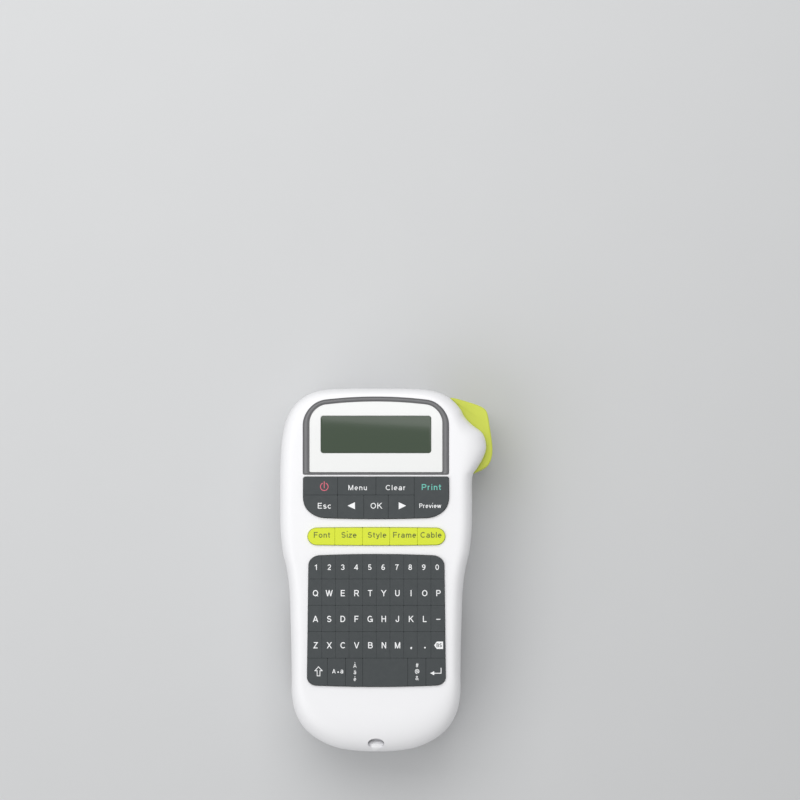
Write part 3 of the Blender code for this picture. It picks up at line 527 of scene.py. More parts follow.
COLUMN_RADIUS, SHANK_RADIUS, HEAD_RADIUS = 3.6, 1.8, 3.1
HEAD_SEAT = 14.2
SHAFT_HOLE = 3.2
GEAR_HOLE = (34.6, 44.6, 53.2, 60.8)  # in the pocket's roof, for the platen's gear
HEAD_HOLE = (28.9, 32.6, 49.2, 64.8)  # and for the print head's stand
ROOF_CUT = (22.0, 27.0)
TAB_HOLE = (-6.5, 6.5, -97.4, -93.6)
JACK_RADIUS = 3.7
REAR_TAPER = 1.0  # the rear half is this much smaller all round at its lower edge
REAR_EDGE = 0.35
BELOW, ABOVE = 5.0, 45.0  # heights under the deck and over the parting plane
HOLE_FOOT = 11.0
SHANK_TOP = 32.0
TAPE_SLOT_TOP = 21.6
STUD_TOP, ARM_PIN_TOP = 46.2, 24.0
ROOM_GROWTH = 2.0
ARM_PIN_RADIUS = 1.8


def add_columns(bm, radius, z0, z1, segments):
    for screw in SCREWS:
        add_prism(bm, circle(screw, radius, segments), z0, z1)


def add_rear_holes(bm):
    add_columns(bm, SHANK_RADIUS, HOLE_FOOT, SHANK_TOP, 24)
    add_prism(bm, circle(TAKEUP_AXIS, SHAFT_HOLE, 32), *ROOF_CUT)
    add_prism(bm, rounded_box(GEAR_HOLE, (3.6,) * 4), *ROOF_CUT)
    add_box(bm, HEAD_HOLE, *ROOF_CUT)
    add_box(bm, TAB_HOLE, HOLE_FOOT, 16)
    add_rod_x(bm, -60, -48, JACK_AXIS, JACK_RADIUS, 40)


def add_rear_shell(bm):
    """Side wall that tapers to its lower edge; both edges are rounded."""
    outline = body_outline(True, FINE)
    low, high = Z_COVER_RIM + GAP, Z_PARTING - GAP
    rings = [
        (inset(outline, REAR_TAPER + REAR_EDGE * inwards), low + REAR_EDGE * (1 - up))
        for inwards, up in reversed(quarter_round(4))
    ]
    straight = high - low - 2 * REAR_EDGE
    for t in (0.5, 1.0):
        rings.append((inset(outline, REAR_TAPER * (1 - t)), low + REAR_EDGE + straight * t))
    for inwards, up in quarter_round(2, 1):
        rings.append((inset(outline, REAR_EDGE * inwards), high - REAR_EDGE * (1 - up)))
    add_loft(bm, rings)


def make_rear():
    housing = solid("case_rear", add_rear_shell)
    inner = body_outline(True, COARSE)
    cut(housing, add_loft, [(inset(inner, WALL + REAR_TAPER), Z_DECK), (inset(inner, WALL), Z_PARTING + 1)])
    # Faces that would lie in one plane are set 0.02 or 0.1 mm apart, which keeps the cuts clean.
    weld(housing, add_box, CASSETTE_ROOM, Z_DECK - 1, ROOM_TOP)
    weld(housing, add_box, CUTTER_ROOM, Z_DECK - 1.1, ROOM_TOP - 0.1)
    weld(housing, add_box, grown(BATTERY_BAY, ROOM_GROWTH), Z_DECK - 1.2, ROOM_TOP)
    weld(housing, add_columns, COLUMN_RADIUS, Z_DECK - 1.3, Z_PARTING - 0.5, 32)
    for k, limits in enumerate(POCKETS):
        cut(housing, add_box, limits, BELOW, POCKET_ROOF - 0.02 * k)
    cut(housing, add_box, BATTERY_BAY, BELOW, POCKET_ROOF)
    cut(housing, add_box, TAPE_SLOT, BELOW, TAPE_SLOT_TOP)
    cut(housing, add_prism, lever_room(), Z_DECK - 0.1, ABOVE)
    cut(housing, add_rear_holes)
    cut(housing, add_columns, HEAD_RADIUS, HOLE_FOOT, HEAD_SEAT, 28)
    weld(housing, add_prism, circle(LEVER_PIVOT, LEVER_STUD, 24), Z_DECK - 1, STUD_TOP)
    weld(housing, add_prism, circle(ARM_PIVOT, ARM_PIN_RADIUS, 24), BELOW, ARM_PIN_TOP)
    place(smooth(settle(housing), 28), "housing", WHITE, ["rear_housing"])


GRIP_Y, GRIP_HALF, GRIP_RISE, GRIP_FOOT = -42.0, 39.0, 9.0, -5.0
GROOVES, GROOVE_PITCH, GROOVE_RADIUS, GROOVE_HALF = 5, 6.0, 0.95, 26.0
COVER_WALL = 2.2
COVER_CORNER, COVER_RISE = 9.0, 9.5  # how far in and how far up the rounded lower edge goes
SNAP_TAB = ((-5.6, 5.6, -96.6, -94.4), 2.0, 17.0)
TAPE_EXIT = (TAPE_SLOT[:2] + (90.0, 110.0), 7.5, 14.0)
THUMB_CATCH = ((0.0, -95.5, 0.2), (8.5, 3.0, 1.6))


def grip_rise(y):
    return GRIP_RISE * (1 - ((y - GRIP_Y) / GRIP_HALF) ** 2) ** 1.6


def add_grip(bm, above):
    """Wide shallow hollow for the fingers, across the whole width, blended into the flat bottom."""
    heights = [(GRIP_Y + GRIP_HALF * k / 24, above - 0.004) for k in range(-24, 25)]
    profile = [(y, grip_rise(y) + z) for y, z in heights]
    profile = [(GRIP_Y - GRIP_HALF, GRIP_FOOT)] + profile + [(GRIP_Y + GRIP_HALF, GRIP_FOOT)]
    join(bm, [[bm.verts.new((x, y, z)) for y, z in profile] for x in (-70, 70)])


def add_cover_form(bm, thickness, steps):
    """Tray with a rounded lower edge, moved in by the thickness. Its sole leaves out the thumb guard."""
    outline = inset(body_outline(True, steps), REAR_TAPER + thickness)
    sole = inset(body_outline(False, steps), REAR_TAPER + thickness + COVER_CORNER)
    rings = []
    for k in range(15):
        a = math.radians(90 * k / 14)
        level = [p.lerp(q, math.sin(a) ** 0.8) for p, q in zip(sole, outline)]
        rings.append((level, thickness + COVER_RISE * (1 - math.cos(a) ** 0.8)))
    edge = ((0.0, -1.0),) if thickness else ((0.0, 0.3), (0.1, 0.08), (0.3, 0.0))
    rings += [(inset(outline, by) if by else outline, Z_COVER_RIM - below) for by, below in edge]
    add_loft(bm, rings)


def make_cover():
    cover = solid("case_back", add_cover_form, 0.0, FINE)
    cut(cover, add_grip, 0.0)
    hollow = solid("hollow", add_cover_form, COVER_WALL, COARSE)
    cut(hollow, add_grip, COVER_WALL)
    combine(cover, hollow, "DIFFERENCE")
    weld(cover, add_box, *SNAP_TAB)
    cut(cover, add_box, *TAPE_EXIT)
    # Moulded grooves in the finger hollow, and a thumb catch at the battery end.
    for k in range(GROOVES):
        y = GRIP_Y + GROOVE_PITCH * (k - (GROOVES - 1) / 2)
        axis = (y, grip_rise(y) - 0.35)
        cut(cover, add_rod_x, -GROOVE_HALF, GROOVE_HALF, axis, GROOVE_RADIUS, 20)
    cut(cover, add_egg, *THUMB_CATCH)
    place(smooth(settle(cover), 28), "back_cover", WHITE, ["back_cover"])


# Section of the bezel: share of the way from its outer to its inner edge, and height.
BEZEL_SECTION = [
    (0.0, 53.0), (0.0, 55.9), (0.05, 56.05), (0.09, 56.0), (0.13, 56.15), (0.2, 56.55), (0.3, 56.82),
    (0.42, 56.95), (0.54, 56.95), (0.66, 56.82), (0.76, 56.55), (0.84, 56.15), (0.89, 56.0),
    (0.95, 56.05), (1.0, 55.9), (1.0, 53.0),
]


def make_screen():
    edges = list(zip(bezel_shape(), lens_shape()))
    rings = [([a.lerp(b, t) for a, b in edges], z) for t, z in BEZEL_SECTION]
    bezel = smooth(solid("bezel_band", add_loft, rings, True), 25)
    place(bezel, "housing", GREY, ["screen_bezel"])

    rim = ((-0.1, 54.4), (-0.1, 56.2), (-0.25, 56.35))
    plate = solid("screen_plate", add_loft, [(lens_shape(by), z) for by, z in rim])

    def opening(by, radius):
        return rounded_box(grown(SCREEN_OPENING, by), (radius,) * 4)

    window = ((0, CUT_FROM), (0, 55.9), (0.12, 56.25), (0.3, 56.4), (0.3, 58))
    cut(plate, add_loft, [(opening(by, 1.5 + by), z) for by, z in window])
    place(smooth(settle(plate)), "housing", PLATE, ["screen_window"])

    glass = ((-0.05, 1.45, 51.6), (-0.05, 1.45, 55.95), (-0.35, 1.2, 56.1), (-0.9, 1.0, 56.1))
    display = smooth(solid("lcd_display", add_loft, [(opening(by, r), z) for by, r, z in glass]))
    place(display, "housing", LCD, ["lcd_panel"])


# ---- lettering
def add_flat(bm, faces, z0, z1):
    """Flat shape with thickness: faces are lists of 2-D points that share corners."""
    shared, sides = {}, {}

    def corner(p):
        return round(p[0], 4), round(p[1], 4)

    def vertex(p, z):
        key = corner(p) + (z,)
        if key not in shared:
            shared[key] = bm.verts.new((p[0], p[1], z))
        return shared[key]

    def add_face(*corners):
        corners = list(dict.fromkeys(corners))
        if len(corners) > 2 and not bm.faces.get(corners):
            bm.faces.new(corners)

    for face in faces:
        for z in (z0, z1):
            add_face(*(vertex(p, z) for p in face))
        for a, b in zip(face, face[1:] + face[:1]):
            a, b = corner(a), corner(b)
            if (b, a) in sides:
                del sides[b, a]
            elif a != b:
                sides[a, b] = True
    for a, b in sides:
        add_face(vertex(a, z0), vertex(b, z0), vertex(b, z1), vertex(a, z1))


def strip(inner, outer, closed=False):
    """Faces between two lists of points of equal length."""
    count = len(inner)
    last = count if closed else count - 1
    return [[inner[i], outer[i], outer[(i + 1) % count], inner[(i + 1) % count]] for i in range(last)]


def bar(x0, x1, y0, y1):
    return [(x0, y0), (x1, y0), (x1, y1), (x0, y1)]


def ring(cx, cy, rx, ry, start=0, stop=360, steps=0):
    """Elliptic arc as a list of points, by default one for about every 18 degrees."""
    steps = steps or max(6, round(abs(stop - start) / 18))
    angles = [math.radians(start + (stop - start) * k / steps) for k in range(steps + 1)]
    return [(cx + rx * math.cos(a), cy + ry * math.sin(a)) for a in angles]


# Plain sans-serif letters as centre lines: width, then strokes, in hundredths of the capital height.
LETTERS = {
    "0": (56, [ring(28, 50, 22, 43)]),
    "1": (42, [[(32, 100), (32, 0)], [(5, 74), (20, 79), (30, 88)]]),
    "2": (56, [ring(28, 68, 21, 25, 170, -35) + [(7, 9), (7, 7), (53, 7)]]),
    "3": (56, [ring(27, 71, 19, 22, 165, -88), ring(27, 28, 22, 21, 88, -165)]),
    "4": (60, [[(43, 0), (43, 100), (4, 29), (59, 29)]]),
    "5": (56, [[(50, 93), (15, 93), (10, 47)] + ring(28, 31, 22, 24, 130, -155)]),
    "6": (56, [ring(28, 30, 22, 23), ring(33, 36, 27, 57, 182, 66)]),
    "7": (56, [[(4, 93), (52, 93), (34, 60), (24, 0)]]),
    "8": (56, [ring(28, 72, 18, 21), ring(28, 28, 22, 21)]),
    "9": (56, [ring(28, 70, 22, 23), ring(23, 64, 27, 57, 2, -114)]),
    "A": (68, [[(3, 0), (34, 100), (65, 0)], [(14, 30), (54, 30)]]),
    "B": (66, [[(9, 7), (9, 93)] + ring(38, 73, 19, 20, 90, -90) + [(14, 53)],
                 [(12, 53)] + ring(40, 30, 21, 23, 90, -90) + [(9, 7)]]),
    "C": (72, [ring(38, 50, 31, 43, 42, 318)]),
    "D": (70, [[(9, 7), (9, 93)] + ring(30, 50, 33, 43, 90, -90) + [(9, 7)]]),
    "E": (63, [[(59, 93), (9, 93), (9, 7), (61, 7)], [(12, 51), (55, 51)]]),
    "F": (60, [[(57, 93), (9, 93), (9, 0)], [(12, 49), (52, 49)]]),
    "G": (76, [ring(38, 50, 31, 43, 45, 322), [(68, 2), (68, 45), (40, 45)]]),
    "H": (68, [[(9, 0), (9, 100)], [(59, 0), (59, 100)], [(12, 52), (56, 52)]]),
    "I": (20, [[(10, 0), (10, 100)]]),
    "J": (50, [[(42, 100), (42, 28)] + ring(24, 27, 18, 20, 0, -180) + [(6, 36)]]),
    "K": (68, [[(9, 0), (9, 100)], [(60, 100), (13, 43)], [(28, 58), (64, 0)]]),
    "L": (56, [[(9, 100), (9, 7), (54, 7)]]),
    "M": (80, [[(9, 0), (9, 100), (40, 0), (71, 100), (71, 0)]]),
    "N": (68, [[(9, 0), (9, 100), (59, 0), (59, 100)]]),
    "O": (76, [ring(38, 50, 31, 43)]),
    "P": (64, [[(9, 0), (9, 93)] + ring(38, 69, 20, 24, 90, -90) + [(12, 45)]]),
    "Q": (76, [ring(38, 50, 31, 43), [(44, 24), (70, 0)]]),
    "R": (68, [[(9, 0), (9, 93)] + ring(40, 70, 20, 23, 90, -90) + [(12, 47)], [(40, 45), (62, 0)]]),
    "S": (64, [ring(32, 71, 22, 22, 22, 250) + ring(32, 29, 24, 22, 70, -160)]),
    "T": (62, [[(1, 93), (61, 93)], [(31, 90), (31, 0)]]),
    "U": (68, [[(9, 100)] + ring(34, 34, 25, 27, 180, 360) + [(59, 100)]]),
    "V": (66, [[(3, 100), (33, 0), (63, 100)]]),
    "W": (92, [[(3, 100), (25, 0), (46, 100), (67, 0), (89, 100)]]),
    "X": (64, [[(3, 100), (61, 0)], [(3, 0), (61, 100)]]),
    "Y": (64, [[(1, 100), (32, 45), (63, 100)], [(32, 47), (32, 0)]]),
    "Z": (60, [[(5, 93), (54, 93), (5, 7), (57, 7)]]),
    "a": (56, [ring(28, 47, 18, 18, 160, 0) + [(46, 0)], ring(26, 20, 20, 15)]),
    "b": (56, [[(8, 0), (8, 100)], ring(29, 35, 20, 29)]),
    "c": (52, [ring(28, 35, 21, 29, 45, 315)]),
    "e": (56, [[(10, 37), (46, 37)] + ring(28, 35, 20, 29, 4, 310)]),
    "i": (20, [[(10, 0), (10, 71)], [(10, 86), (10, 100)]]),
    "l": (20, [[(10, 0), (10, 100)]]),
    "m": (82, [[(9, 0), (9, 71)], ring(25, 46, 16, 18, 180, 0) + [(41, 0)],
                 ring(57, 46, 16, 18, 180, 0) + [(73, 0)]]),
    "n": (53, [[(9, 0), (9, 71)], ring(26.5, 45, 17.5, 19, 180, 0) + [(44, 0)]]),
    "o": (57, [ring(28.5, 35, 21, 29)]),
    "r": (34, [[(9, 0), (9, 71)], ring(28, 45, 19, 20, 180, 85)]),
    "s": (48, [ring(24, 50, 16, 14.5, 25, 250) + ring(24, 20, 18, 14.5, 70, -158)]),
    "t": (34, [[(15, 92)] + ring(28, 20, 13, 14, 180, 275), [(1, 65), (32, 65)]]),
    "u": (53, [[(9, 71)] + ring(26.5, 25, 17.5, 19, 180, 360), [(44, 0), (44, 71)]]),
    "v": (50, [[(3, 71), (25, 0), (47, 71)]]),
    "w": (74, [[(3, 71), (20, 0), (37, 71), (54, 0), (71, 71)]]),
    "y": (50, [[(3, 71), (27, 4)], [(47, 71), (22, -15), (6, -20)]]),
    "z": (46, [[(4, 64), (41, 64), (4, 7), (43, 7)]]),
    "-": (62, [[(2, 44), (60, 44)]]),
    ",": (24, [[(2, 11), (24, 11)], [(15, 8), (7, -13)]]),
    ".": (24, [[(2, 11), (24, 11)]]),
    "#": (60, [[(14, 0), (24, 100)], [(38, 0), (48, 100)], [(2, 33), (56, 33)], [(6, 67), (60, 67)]]),
    "@": (90, [ring(45, 42, 16, 19), ring(45, 42, 38, 46, -50, 280), [(61, 60), (61, 26), (74, 20)]]),
    "&": (70, [[(66, 0), (20, 66)] + ring(31, 78, 14, 15, 200, -70)
                + ring(28, 26, 22, 20, 110, 330) + [(60, 45)]]),
    "`": (30, [[(6, 30), (22, 6)]]),
    ":": (40, [[(8, 10), (8, 24)], [(32, 10), (32, 24)]]),
    "/": (30, [[(22, 30), (6, 6)]]),
}


SHORTEST = 0.02  # points of a line that are closer than this count as one


def line_faces(points, width):
    """Strip of the given width along a line of points, with mitred joints."""
    spaced = [Vector(points[0])]
    for p in points[1:]:
        if (Vector(p) - spaced[-1]).length > SHORTEST:
            spaced.append(Vector(p))
    closed = (spaced[0] - spaced[-1]).length < 0.1 and len(spaced) > 6
    if closed:
        spaced = spaced[:-1]
    count, left, right = len(spaced), [], []
    for i, p in enumerate(spaced):
        before = spaced[i - 1] if closed or i else None
        after = spaced[(i + 1) % count] if closed or i + 1 < count else None
        a = (p - before).normalized() if before is not None else (after - p).normalized()
        b = (after - p).normalized() if after is not None else a
        across = Vector((-a.y, a.x)) + Vector((-b.y, b.x))
        across.normalize()
        reach = width / 2 / max(0.45, across.dot(Vector((-a.y, a.x))))
        left.append(tuple(p + across * reach))
        right.append(tuple(p - across * reach))
    return strip(left, right, closed)


FLUSH_HEIGHTS = (0.0, 0.71, 1.0)  # baseline, lower-case height and capital height
SHARP_TURN = 125.0  # a line that turns further than this is made of two strokes
MOST_STRAIGHT = 4  # a stroke with more points than this is a curve, which keeps its square ends
STEEP = 0.3  # least rise per unit length of a stroke whose end is cut off level


def split_corners(line):
    """Cuts a line of points in two at every corner too sharp for a mitre."""
    pieces, start = [], 0
    for i in range(1, len(line) - 1):
        before = Vector(line[i]) - Vector(line[i - 1])
        after = Vector(line[i + 1]) - Vector(line[i])
        if min(before.length, after.length) > SHORTEST and math.degrees(before.angle(after)) > SHARP_TURN:
            pieces.append(line[start:i + 1])
            start = i
    return pieces + [line[start:]]


def flat_end(height, level):
    """The level at which a stroke's end is cut off flat, or None for a square end."""
    return level if min(abs(height - h) for h in FLUSH_HEIGHTS) < 0.001 else None


def flush(points, width, ends):
    """Strip of the given width, each end of a straight stroke cut off level where `ends` gives a level."""
    if len(points) > MOST_STRAIGHT:
        return line_faces(points, width)
    points = [Vector(p) for p in points]
    runs = (points[0] - points[1]).normalized(), (points[-1] - points[-2]).normalized()
    for k, run in zip((0, -1), runs):
        if ends[k] is not None and abs(run.y) > STEEP:
            points[k] = points[k] + run * width
    faces = line_faces(points, width)
    middle = sum(p.y for p in points) / len(points)
    for level in ends:
        if level is not None:
            faces = [half_plane(face, 1, level, 1 if middle > level else -1) for face in faces]
    return [face for face in faces if len(face) > 2]


def glyph(letter):
    """Width and strokes of a letter in units of the capital height."""
    width, lines = LETTERS[letter]
    return width / 100, [[(px / 100, py / 100) for px, py in line] for line in lines]


def lettering(text, cap, centre, weight=0.13, spacing=0.13, width=1.0):
    """Strokes of a line of text about its middle, as a list of faces for each stroke.

    weight and spacing are shares of the capital height; width stretches the letters sideways.
    """
    total = sum(glyph(c)[0] for c in text) + spacing * (len(text) - 1)
    x = -total / 2
    strokes = []
    for c in text:
        advance, lines = glyph(c)
        for line in lines:
            for piece in split_corners(line):
                placed = [
                    (centre[0] + (x + px) * cap * width, centre[1] + (py - 0.5) * cap) for px, py in piece
                ]
                ends = [flat_end(piece[k][1], placed[k][1]) for k in (0, -1)]
                heavy = 1.5 if c in ",." else 1.0
                strokes.append(flush(placed, weight * cap * heavy, ends))
        x += advance + spacing
    return strokes


def power_icon(x, y):
    inner, outer = (ring(x, y, radius, radius, 114, 426, 28) for radius in (1.95, 2.4))
    return [strip(inner, outer), [bar(x - 0.22, x + 0.22, y - 0.9, y + 3.0)]]


def outline_icon(points, width):
    """Closed line of the given width along the inside of a polygon."""
    outer = [Vector(p) for p in points]
    inner = []
    for i, p in enumerate(outer):
        a = (p - outer[i - 1]).normalized()
        b = (outer[(i + 1) % len(outer)] - p).normalized()
        normal_a, normal_b = Vector((-a.y, a.x)), Vector((-b.y, b.x))
        middle = (normal_a + normal_b).normalized()
        inner.append(p + middle * (width / max(0.3, middle.dot(normal_a))))
    return strip([tuple(p) for p in inner], [tuple(p) for p in outer], closed=True)


def shift_icon(x, y):
    arrow = [(-1.0, -2.8), (1.0, -2.8), (1.0, 0.1), (2.5, 0.1), (0, 2.8), (-2.5, 0.1), (-1.0, 0.1)]
    return [outline_icon([(x + a, y + b) for a, b in arrow], 0.4)]


def enter_icon(x, y):
    return [
        [bar(x + 2.75, x + 3.2, y - 0.9, y + 1.9)],
        [bar(x - 1.2, x + 3.2, y - 1.35, y - 0.9)],
        [[(x - 3.2, y - 1.12), (x - 0.9, y - 2.3), (x - 0.9, y + 0.05)]],
    ]


def erase_icon(x, y):
    shape = [(x - 2.6, y), (x - 1.0, y - 2.1), (x + 2.5, y - 2.1), (x + 2.5, y + 2.1), (x - 1.0, y + 2.1)]
    return [[shape]]


# ---- keys
FUNCTION_KEYS = {
    "power": (FUNCTION_BLOCK[0], -21.7, 42.7, 52.9),
    "menu": (-21.7, 0.0, 42.7, 52.9),
    "clear": (0.0, 21.7, 42.7, 52.9),
    "print": (21.7, FUNCTION_BLOCK[1], 29.3, 52.9),
    "escape": (FUNCTION_BLOCK[0], -21.7, 29.3, 42.7),
    "left": (-21.7, -6.9, 29.3, 42.7),
    "ok": (-6.9, 7.0, 29.3, 42.7),
    "right": (7.0, 21.7, 29.3, 42.7),
}
COLOUR_EDGES = (COLOUR_BLOCK[0], -23.3, -7.6, 7.8, 23.5, COLOUR_BLOCK[1])
COLOUR_KEYS = (("font", "Font", -30.7), ("size", "Size", -15.4), ("style", "Style", 0.5),
               ("frame", "Frame", 16.1), ("cable", "Cable", 31.1))
BOTTOM_EDGES = (LETTER_BLOCK[0], -27.5, -17.2, -7.5, 18.0, 28.3, LETTER_BLOCK[1])
BOTTOM_NAMES = ("shift", "caps", "accent", "space", "symbol", "enter")
# Each row: node, letters, y, capital height, pitch and how far right of the middle it is centred.
ROWS = (
    ("number_row_keys", "1234567890", 1.8, 3.1, 7.64, 0.3),
    ("upper_letter_keys", "QWERTYUIOP", -12.9, 3.5, 7.73, 0.56),
    ("middle_letter_keys", "ASDFGHJKL-", -27.5, 3.5, 7.73, 0.56),
    ("lower_letter_keys", "ZXCVBNM,. ", -42.4, 3.5, 7.73, 0.65),
)
LETTER_WIDTH = 1.16
LEGEND_Z = (CAP_TOP - 0.15, CAP_TOP + 0.035)
KEY_FOOT = 52.6
KEY_CORNER = 0.4
KEY_EDGE = 0.14
KEY_GAP, CAP_GAP, WEB_GAP = 0.04, 0.03, 0.08  # half the gap beside single keys, row caps and row webs


def clipped(limits, block, shape, half_gap):
    """Outline of one key: its cell, less half a gap on inner sides, clipped to the block's outline."""
    polygon = shape
    for k, (limit, edge) in enumerate(zip(limits, block)):
        keep = -1 if k % 2 else 1
        if abs(limit - edge) >= 0.1:
            polygon = half_plane(polygon, k // 2, limit + keep * half_gap, keep)
    return filleted([Vector(p) for p in polygon], KEY_CORNER)


SHARP_CORNER = 150.0  # degrees between the sides; a wider corner isn't filleted
FILLET_STEPS = 5


def filleted(polygon, radius):
    """Puts an arc of the given radius on each sharp corner of a polygon."""
    points = [p for i, p in enumerate(polygon) if (p - polygon[i - 1]).length > SHORTEST]
    count = len(points)

    def sharp(i):
        before, p, after = (points[(i + k) % count] for k in (-1, 0, 1))
        return math.degrees((before - p).angle(after - p, 3)) < SHARP_CORNER

    corners = [i for i in range(count) if sharp(i)]
    kept = [
        p for i, p in enumerate(points)
        if i in corners or min((p - points[c]).length for c in corners) > 1.3 * radius
    ]
    result = []
    for i, p in enumerate(kept):
        before, after = kept[i - 1] - p, kept[(i + 1) % len(kept)] - p
        half = before.angle(after, 3) / 2
        if math.degrees(half) > SHARP_CORNER / 2:
            result.append(p)
            continue
        middle = p + (before.normalized() + after.normalized()).normalized() * (radius / math.sin(half))
        start = p + before.normalized() * (radius / math.tan(half)) - middle
        turn = math.pi - 2 * half
        for s in range(FILLET_STEPS + 1):
            a = turn * s / FILLET_STEPS
            result.append(middle + Vector((start.x * math.cos(a) - start.y * math.sin(a),
                                           start.x * math.sin(a) + start.y * math.cos(a))))
    return result


def add_cap(bm, outline, low):
    """Key whose upper edge is a quarter round."""
    rings = [(outline, low), (outline, CAP_TOP - KEY_EDGE)]
    for inwards, up in quarter_round(4, 1):
        rings.append((inset(outline, KEY_EDGE * inwards), CAP_TOP - KEY_EDGE + KEY_EDGE * up))
    rings.append((inset(outline, KEY_EDGE + 0.06), CAP_TOP))
    add_loft(bm, rings)


def make_legend(name, body, strokes, material, z=LEGEND_Z):
    """Printed legend: each stroke is a closed plate, and strokes that cross aren't quite level."""
    def build(bm):
        for k, faces in enumerate(strokes):
            lower = 0.002 * (k % 4)
            add_flat(bm, faces, z[0] - lower, z[1] - lower)

    place(solid(name, build), body, material)


def make_key(name, limits, block, shape, material):
    outline = clipped(limits, block, shape, KEY_GAP)
    key = smooth(solid(f"cap_{name}", add_cap, outline, KEY_FOOT), 40)
    place(key, f"key_{name}", material, [f"key_{name}"])


# Legend, its key, its colour, and the strokes: text, capital height, middle, weight, spacing and width.
FUNCTION_LEGENDS = (
    ("menu", "menu", LEGEND, lettering("Menu", 2.9, (-10.4, 46.9), 0.135, 0.14, 1.3)),
    ("clear", "clear", LEGEND, lettering("Clear", 2.9, (11.1, 46.9), 0.135, 0.13, 1.34)),
    ("escape", "escape", LEGEND, lettering("Esc", 3.25, (-29.2, 36.6), 0.135, 0.13, 1.27)),
    ("ok", "ok", LEGEND, lettering("OK", 3.25, (0.2, 36.6), 0.135, 0.13, 1.3)),
    ("left", "left", LEGEND, [[[(-16.1, 36.6), (-11.9, 34.6), (-11.9, 38.6)]]]),
    ("right", "right", LEGEND, [[[(17.1, 36.6), (12.9, 38.6), (12.9, 34.6)]]]),
    ("power", "power", ROSE, power_icon(-29.3, 47.4)),
    ("print", "print", TEAL, lettering("Print", 3.35, (31.4, 47.2), 0.13, 0.13, 1.3)),
    ("preview", "print", LEGEND, lettering("Preview", 2.5, (30.7, 36.6), 0.15, 0.12, 1.16)),
)


def make_function_keys():
    for name, limits in FUNCTION_KEYS.items():
        make_key(name, limits, FUNCTION_BLOCK, FUNCTION_SHAPE(), DARK)
    for name, key, ink, strokes in FUNCTION_LEGENDS:
        make_legend(f"legend_{name}", f"key_{key}", strokes, ink)


def make_colour_keys():
    for (name, label, x), a, b in zip(COLOUR_KEYS, COLOUR_EDGES, COLOUR_EDGES[1:]):
        limits = (a, b) + COLOUR_BLOCK[2:]
        make_key(name, limits, COLOUR_BLOCK, COLOUR_SHAPE(), LIME)
        faces = lettering(label, 3.2, (x + 0.1, 20.1), 0.165, 0.11, 1.24)
        make_legend(f"legend_{name}", f"key_{name}", faces, OLIVE)


def make_letter_keys():
    block, shape = LETTER_BLOCK, LETTER_SHAPE()
    width = (block[1] - block[0]) / 10
    for (node, letters, y, cap, pitch, shift), high, low in zip(ROWS, ROW_EDGES, ROW_EDGES[1:]):
        cells = [(block[0] + k * width, block[0] + (k + 1) * width, low, high) for k in range(10)]

        def row(bm):
            web = clipped(block[:2] + (low, high), block, shape, WEB_GAP)
            add_prism(bm, inset(web, 0.02), KEY_FOOT, CAP_TOP - KEY_EDGE)
            for cell in cells:
                add_cap(bm, clipped(cell, block, shape, CAP_GAP), CAP_TOP - 0.6)

        caps = smooth(solid(f"caps_{node}", row), 40)
        place(caps, node, DARK, [node])
        strokes = []
        for k, letter in enumerate(letters.rstrip()):
            middle = ((k - 4.5) * pitch + shift, y)
            strokes += lettering(letter, cap, middle, 0.145, width=LETTER_WIDTH)
        if node == "lower_letter_keys":
            strokes += erase_icon(35.5, y)
            small = lettering("BS", 2.1, (35.8, y), 0.17)
            make_legend("legend_erase", node, small, DARK, (CAP_TOP, CAP_TOP + 0.05))
        make_legend(f"legend_{node}", node, strokes, LEGEND)


BOTTOM_Y = -57.1
# Signs above each other on one key: sign, height above the row's middle, capital height.
ACCENTS = (("A", 3.1, 2.3), ("`", 5.6, 2.2), ("a", -0.4, 2.5), (":", 1.3, 2.3), ("e", -4.3, 2.5),
           ("/", -2.4, 2.3))
SYMBOLS = (("#", 3.4, 2.3), ("@", 0.1, 2.6), ("&", -3.8, 2.4))


def stacked(signs, x):
    placed = [(sign, cap, (x, BOTTOM_Y + rise)) for sign, rise, cap in signs]
    return [stroke for sign in placed for stroke in lettering(*sign, 0.125, width=1.1)]


def caps_legend(y):
    dot = [ring(-21.4, y - 0.5, 0.45, 0.45, 0, 330, 11)]
    return (lettering("A", 2.4, (-23.8, y), 0.15, width=1.1) + [dot]
            + lettering("a", 2.9, (-19.3, y + 0.25), 0.14, width=1.05))


BOTTOM_LEGENDS = {
    "shift": shift_icon(-32.5, BOTTOM_Y),
    "caps": caps_legend(BOTTOM_Y),
    "accent": stacked(ACCENTS, -11.9),
    "symbol": stacked(SYMBOLS, 23.3),
    "enter": enter_icon(33.9, BOTTOM_Y),
}


def make_bottom_keys():
    for name, a, b in zip(BOTTOM_NAMES, BOTTOM_EDGES, BOTTOM_EDGES[1:]):
        limits = (a, b, ROW_EDGES[5], ROW_EDGES[4])
        make_key(name, limits, LETTER_BLOCK, LETTER_SHAPE(), DARK)
    for name, strokes in BOTTOM_LEGENDS.items():
        make_legend(f"legend_{name}", f"key_{name}", strokes, LEGEND)


# ---- lever
KNUCKLE_RADIUS = 3.2
LEVER_FOOT, LEVER_TOP, LEVER_EDGE = 15.0, 41.5, 0.8
LEVER_BORE = 1.8
LEVER_GROOVES, LEVER_GROOVE_PITCH, LEVER_GROOVE_START = 7, 2.7, 66.0
LEVER_GROOVE_Z, LEVER_GROOVE_RADII = 28.2, (0.75, 0.75, 9.5)
LEVER_SIDE, LEAN_START, LEAN = 66.55, 73.0, 0.16  # x of the outer face, which leans inwards above LEAN_START


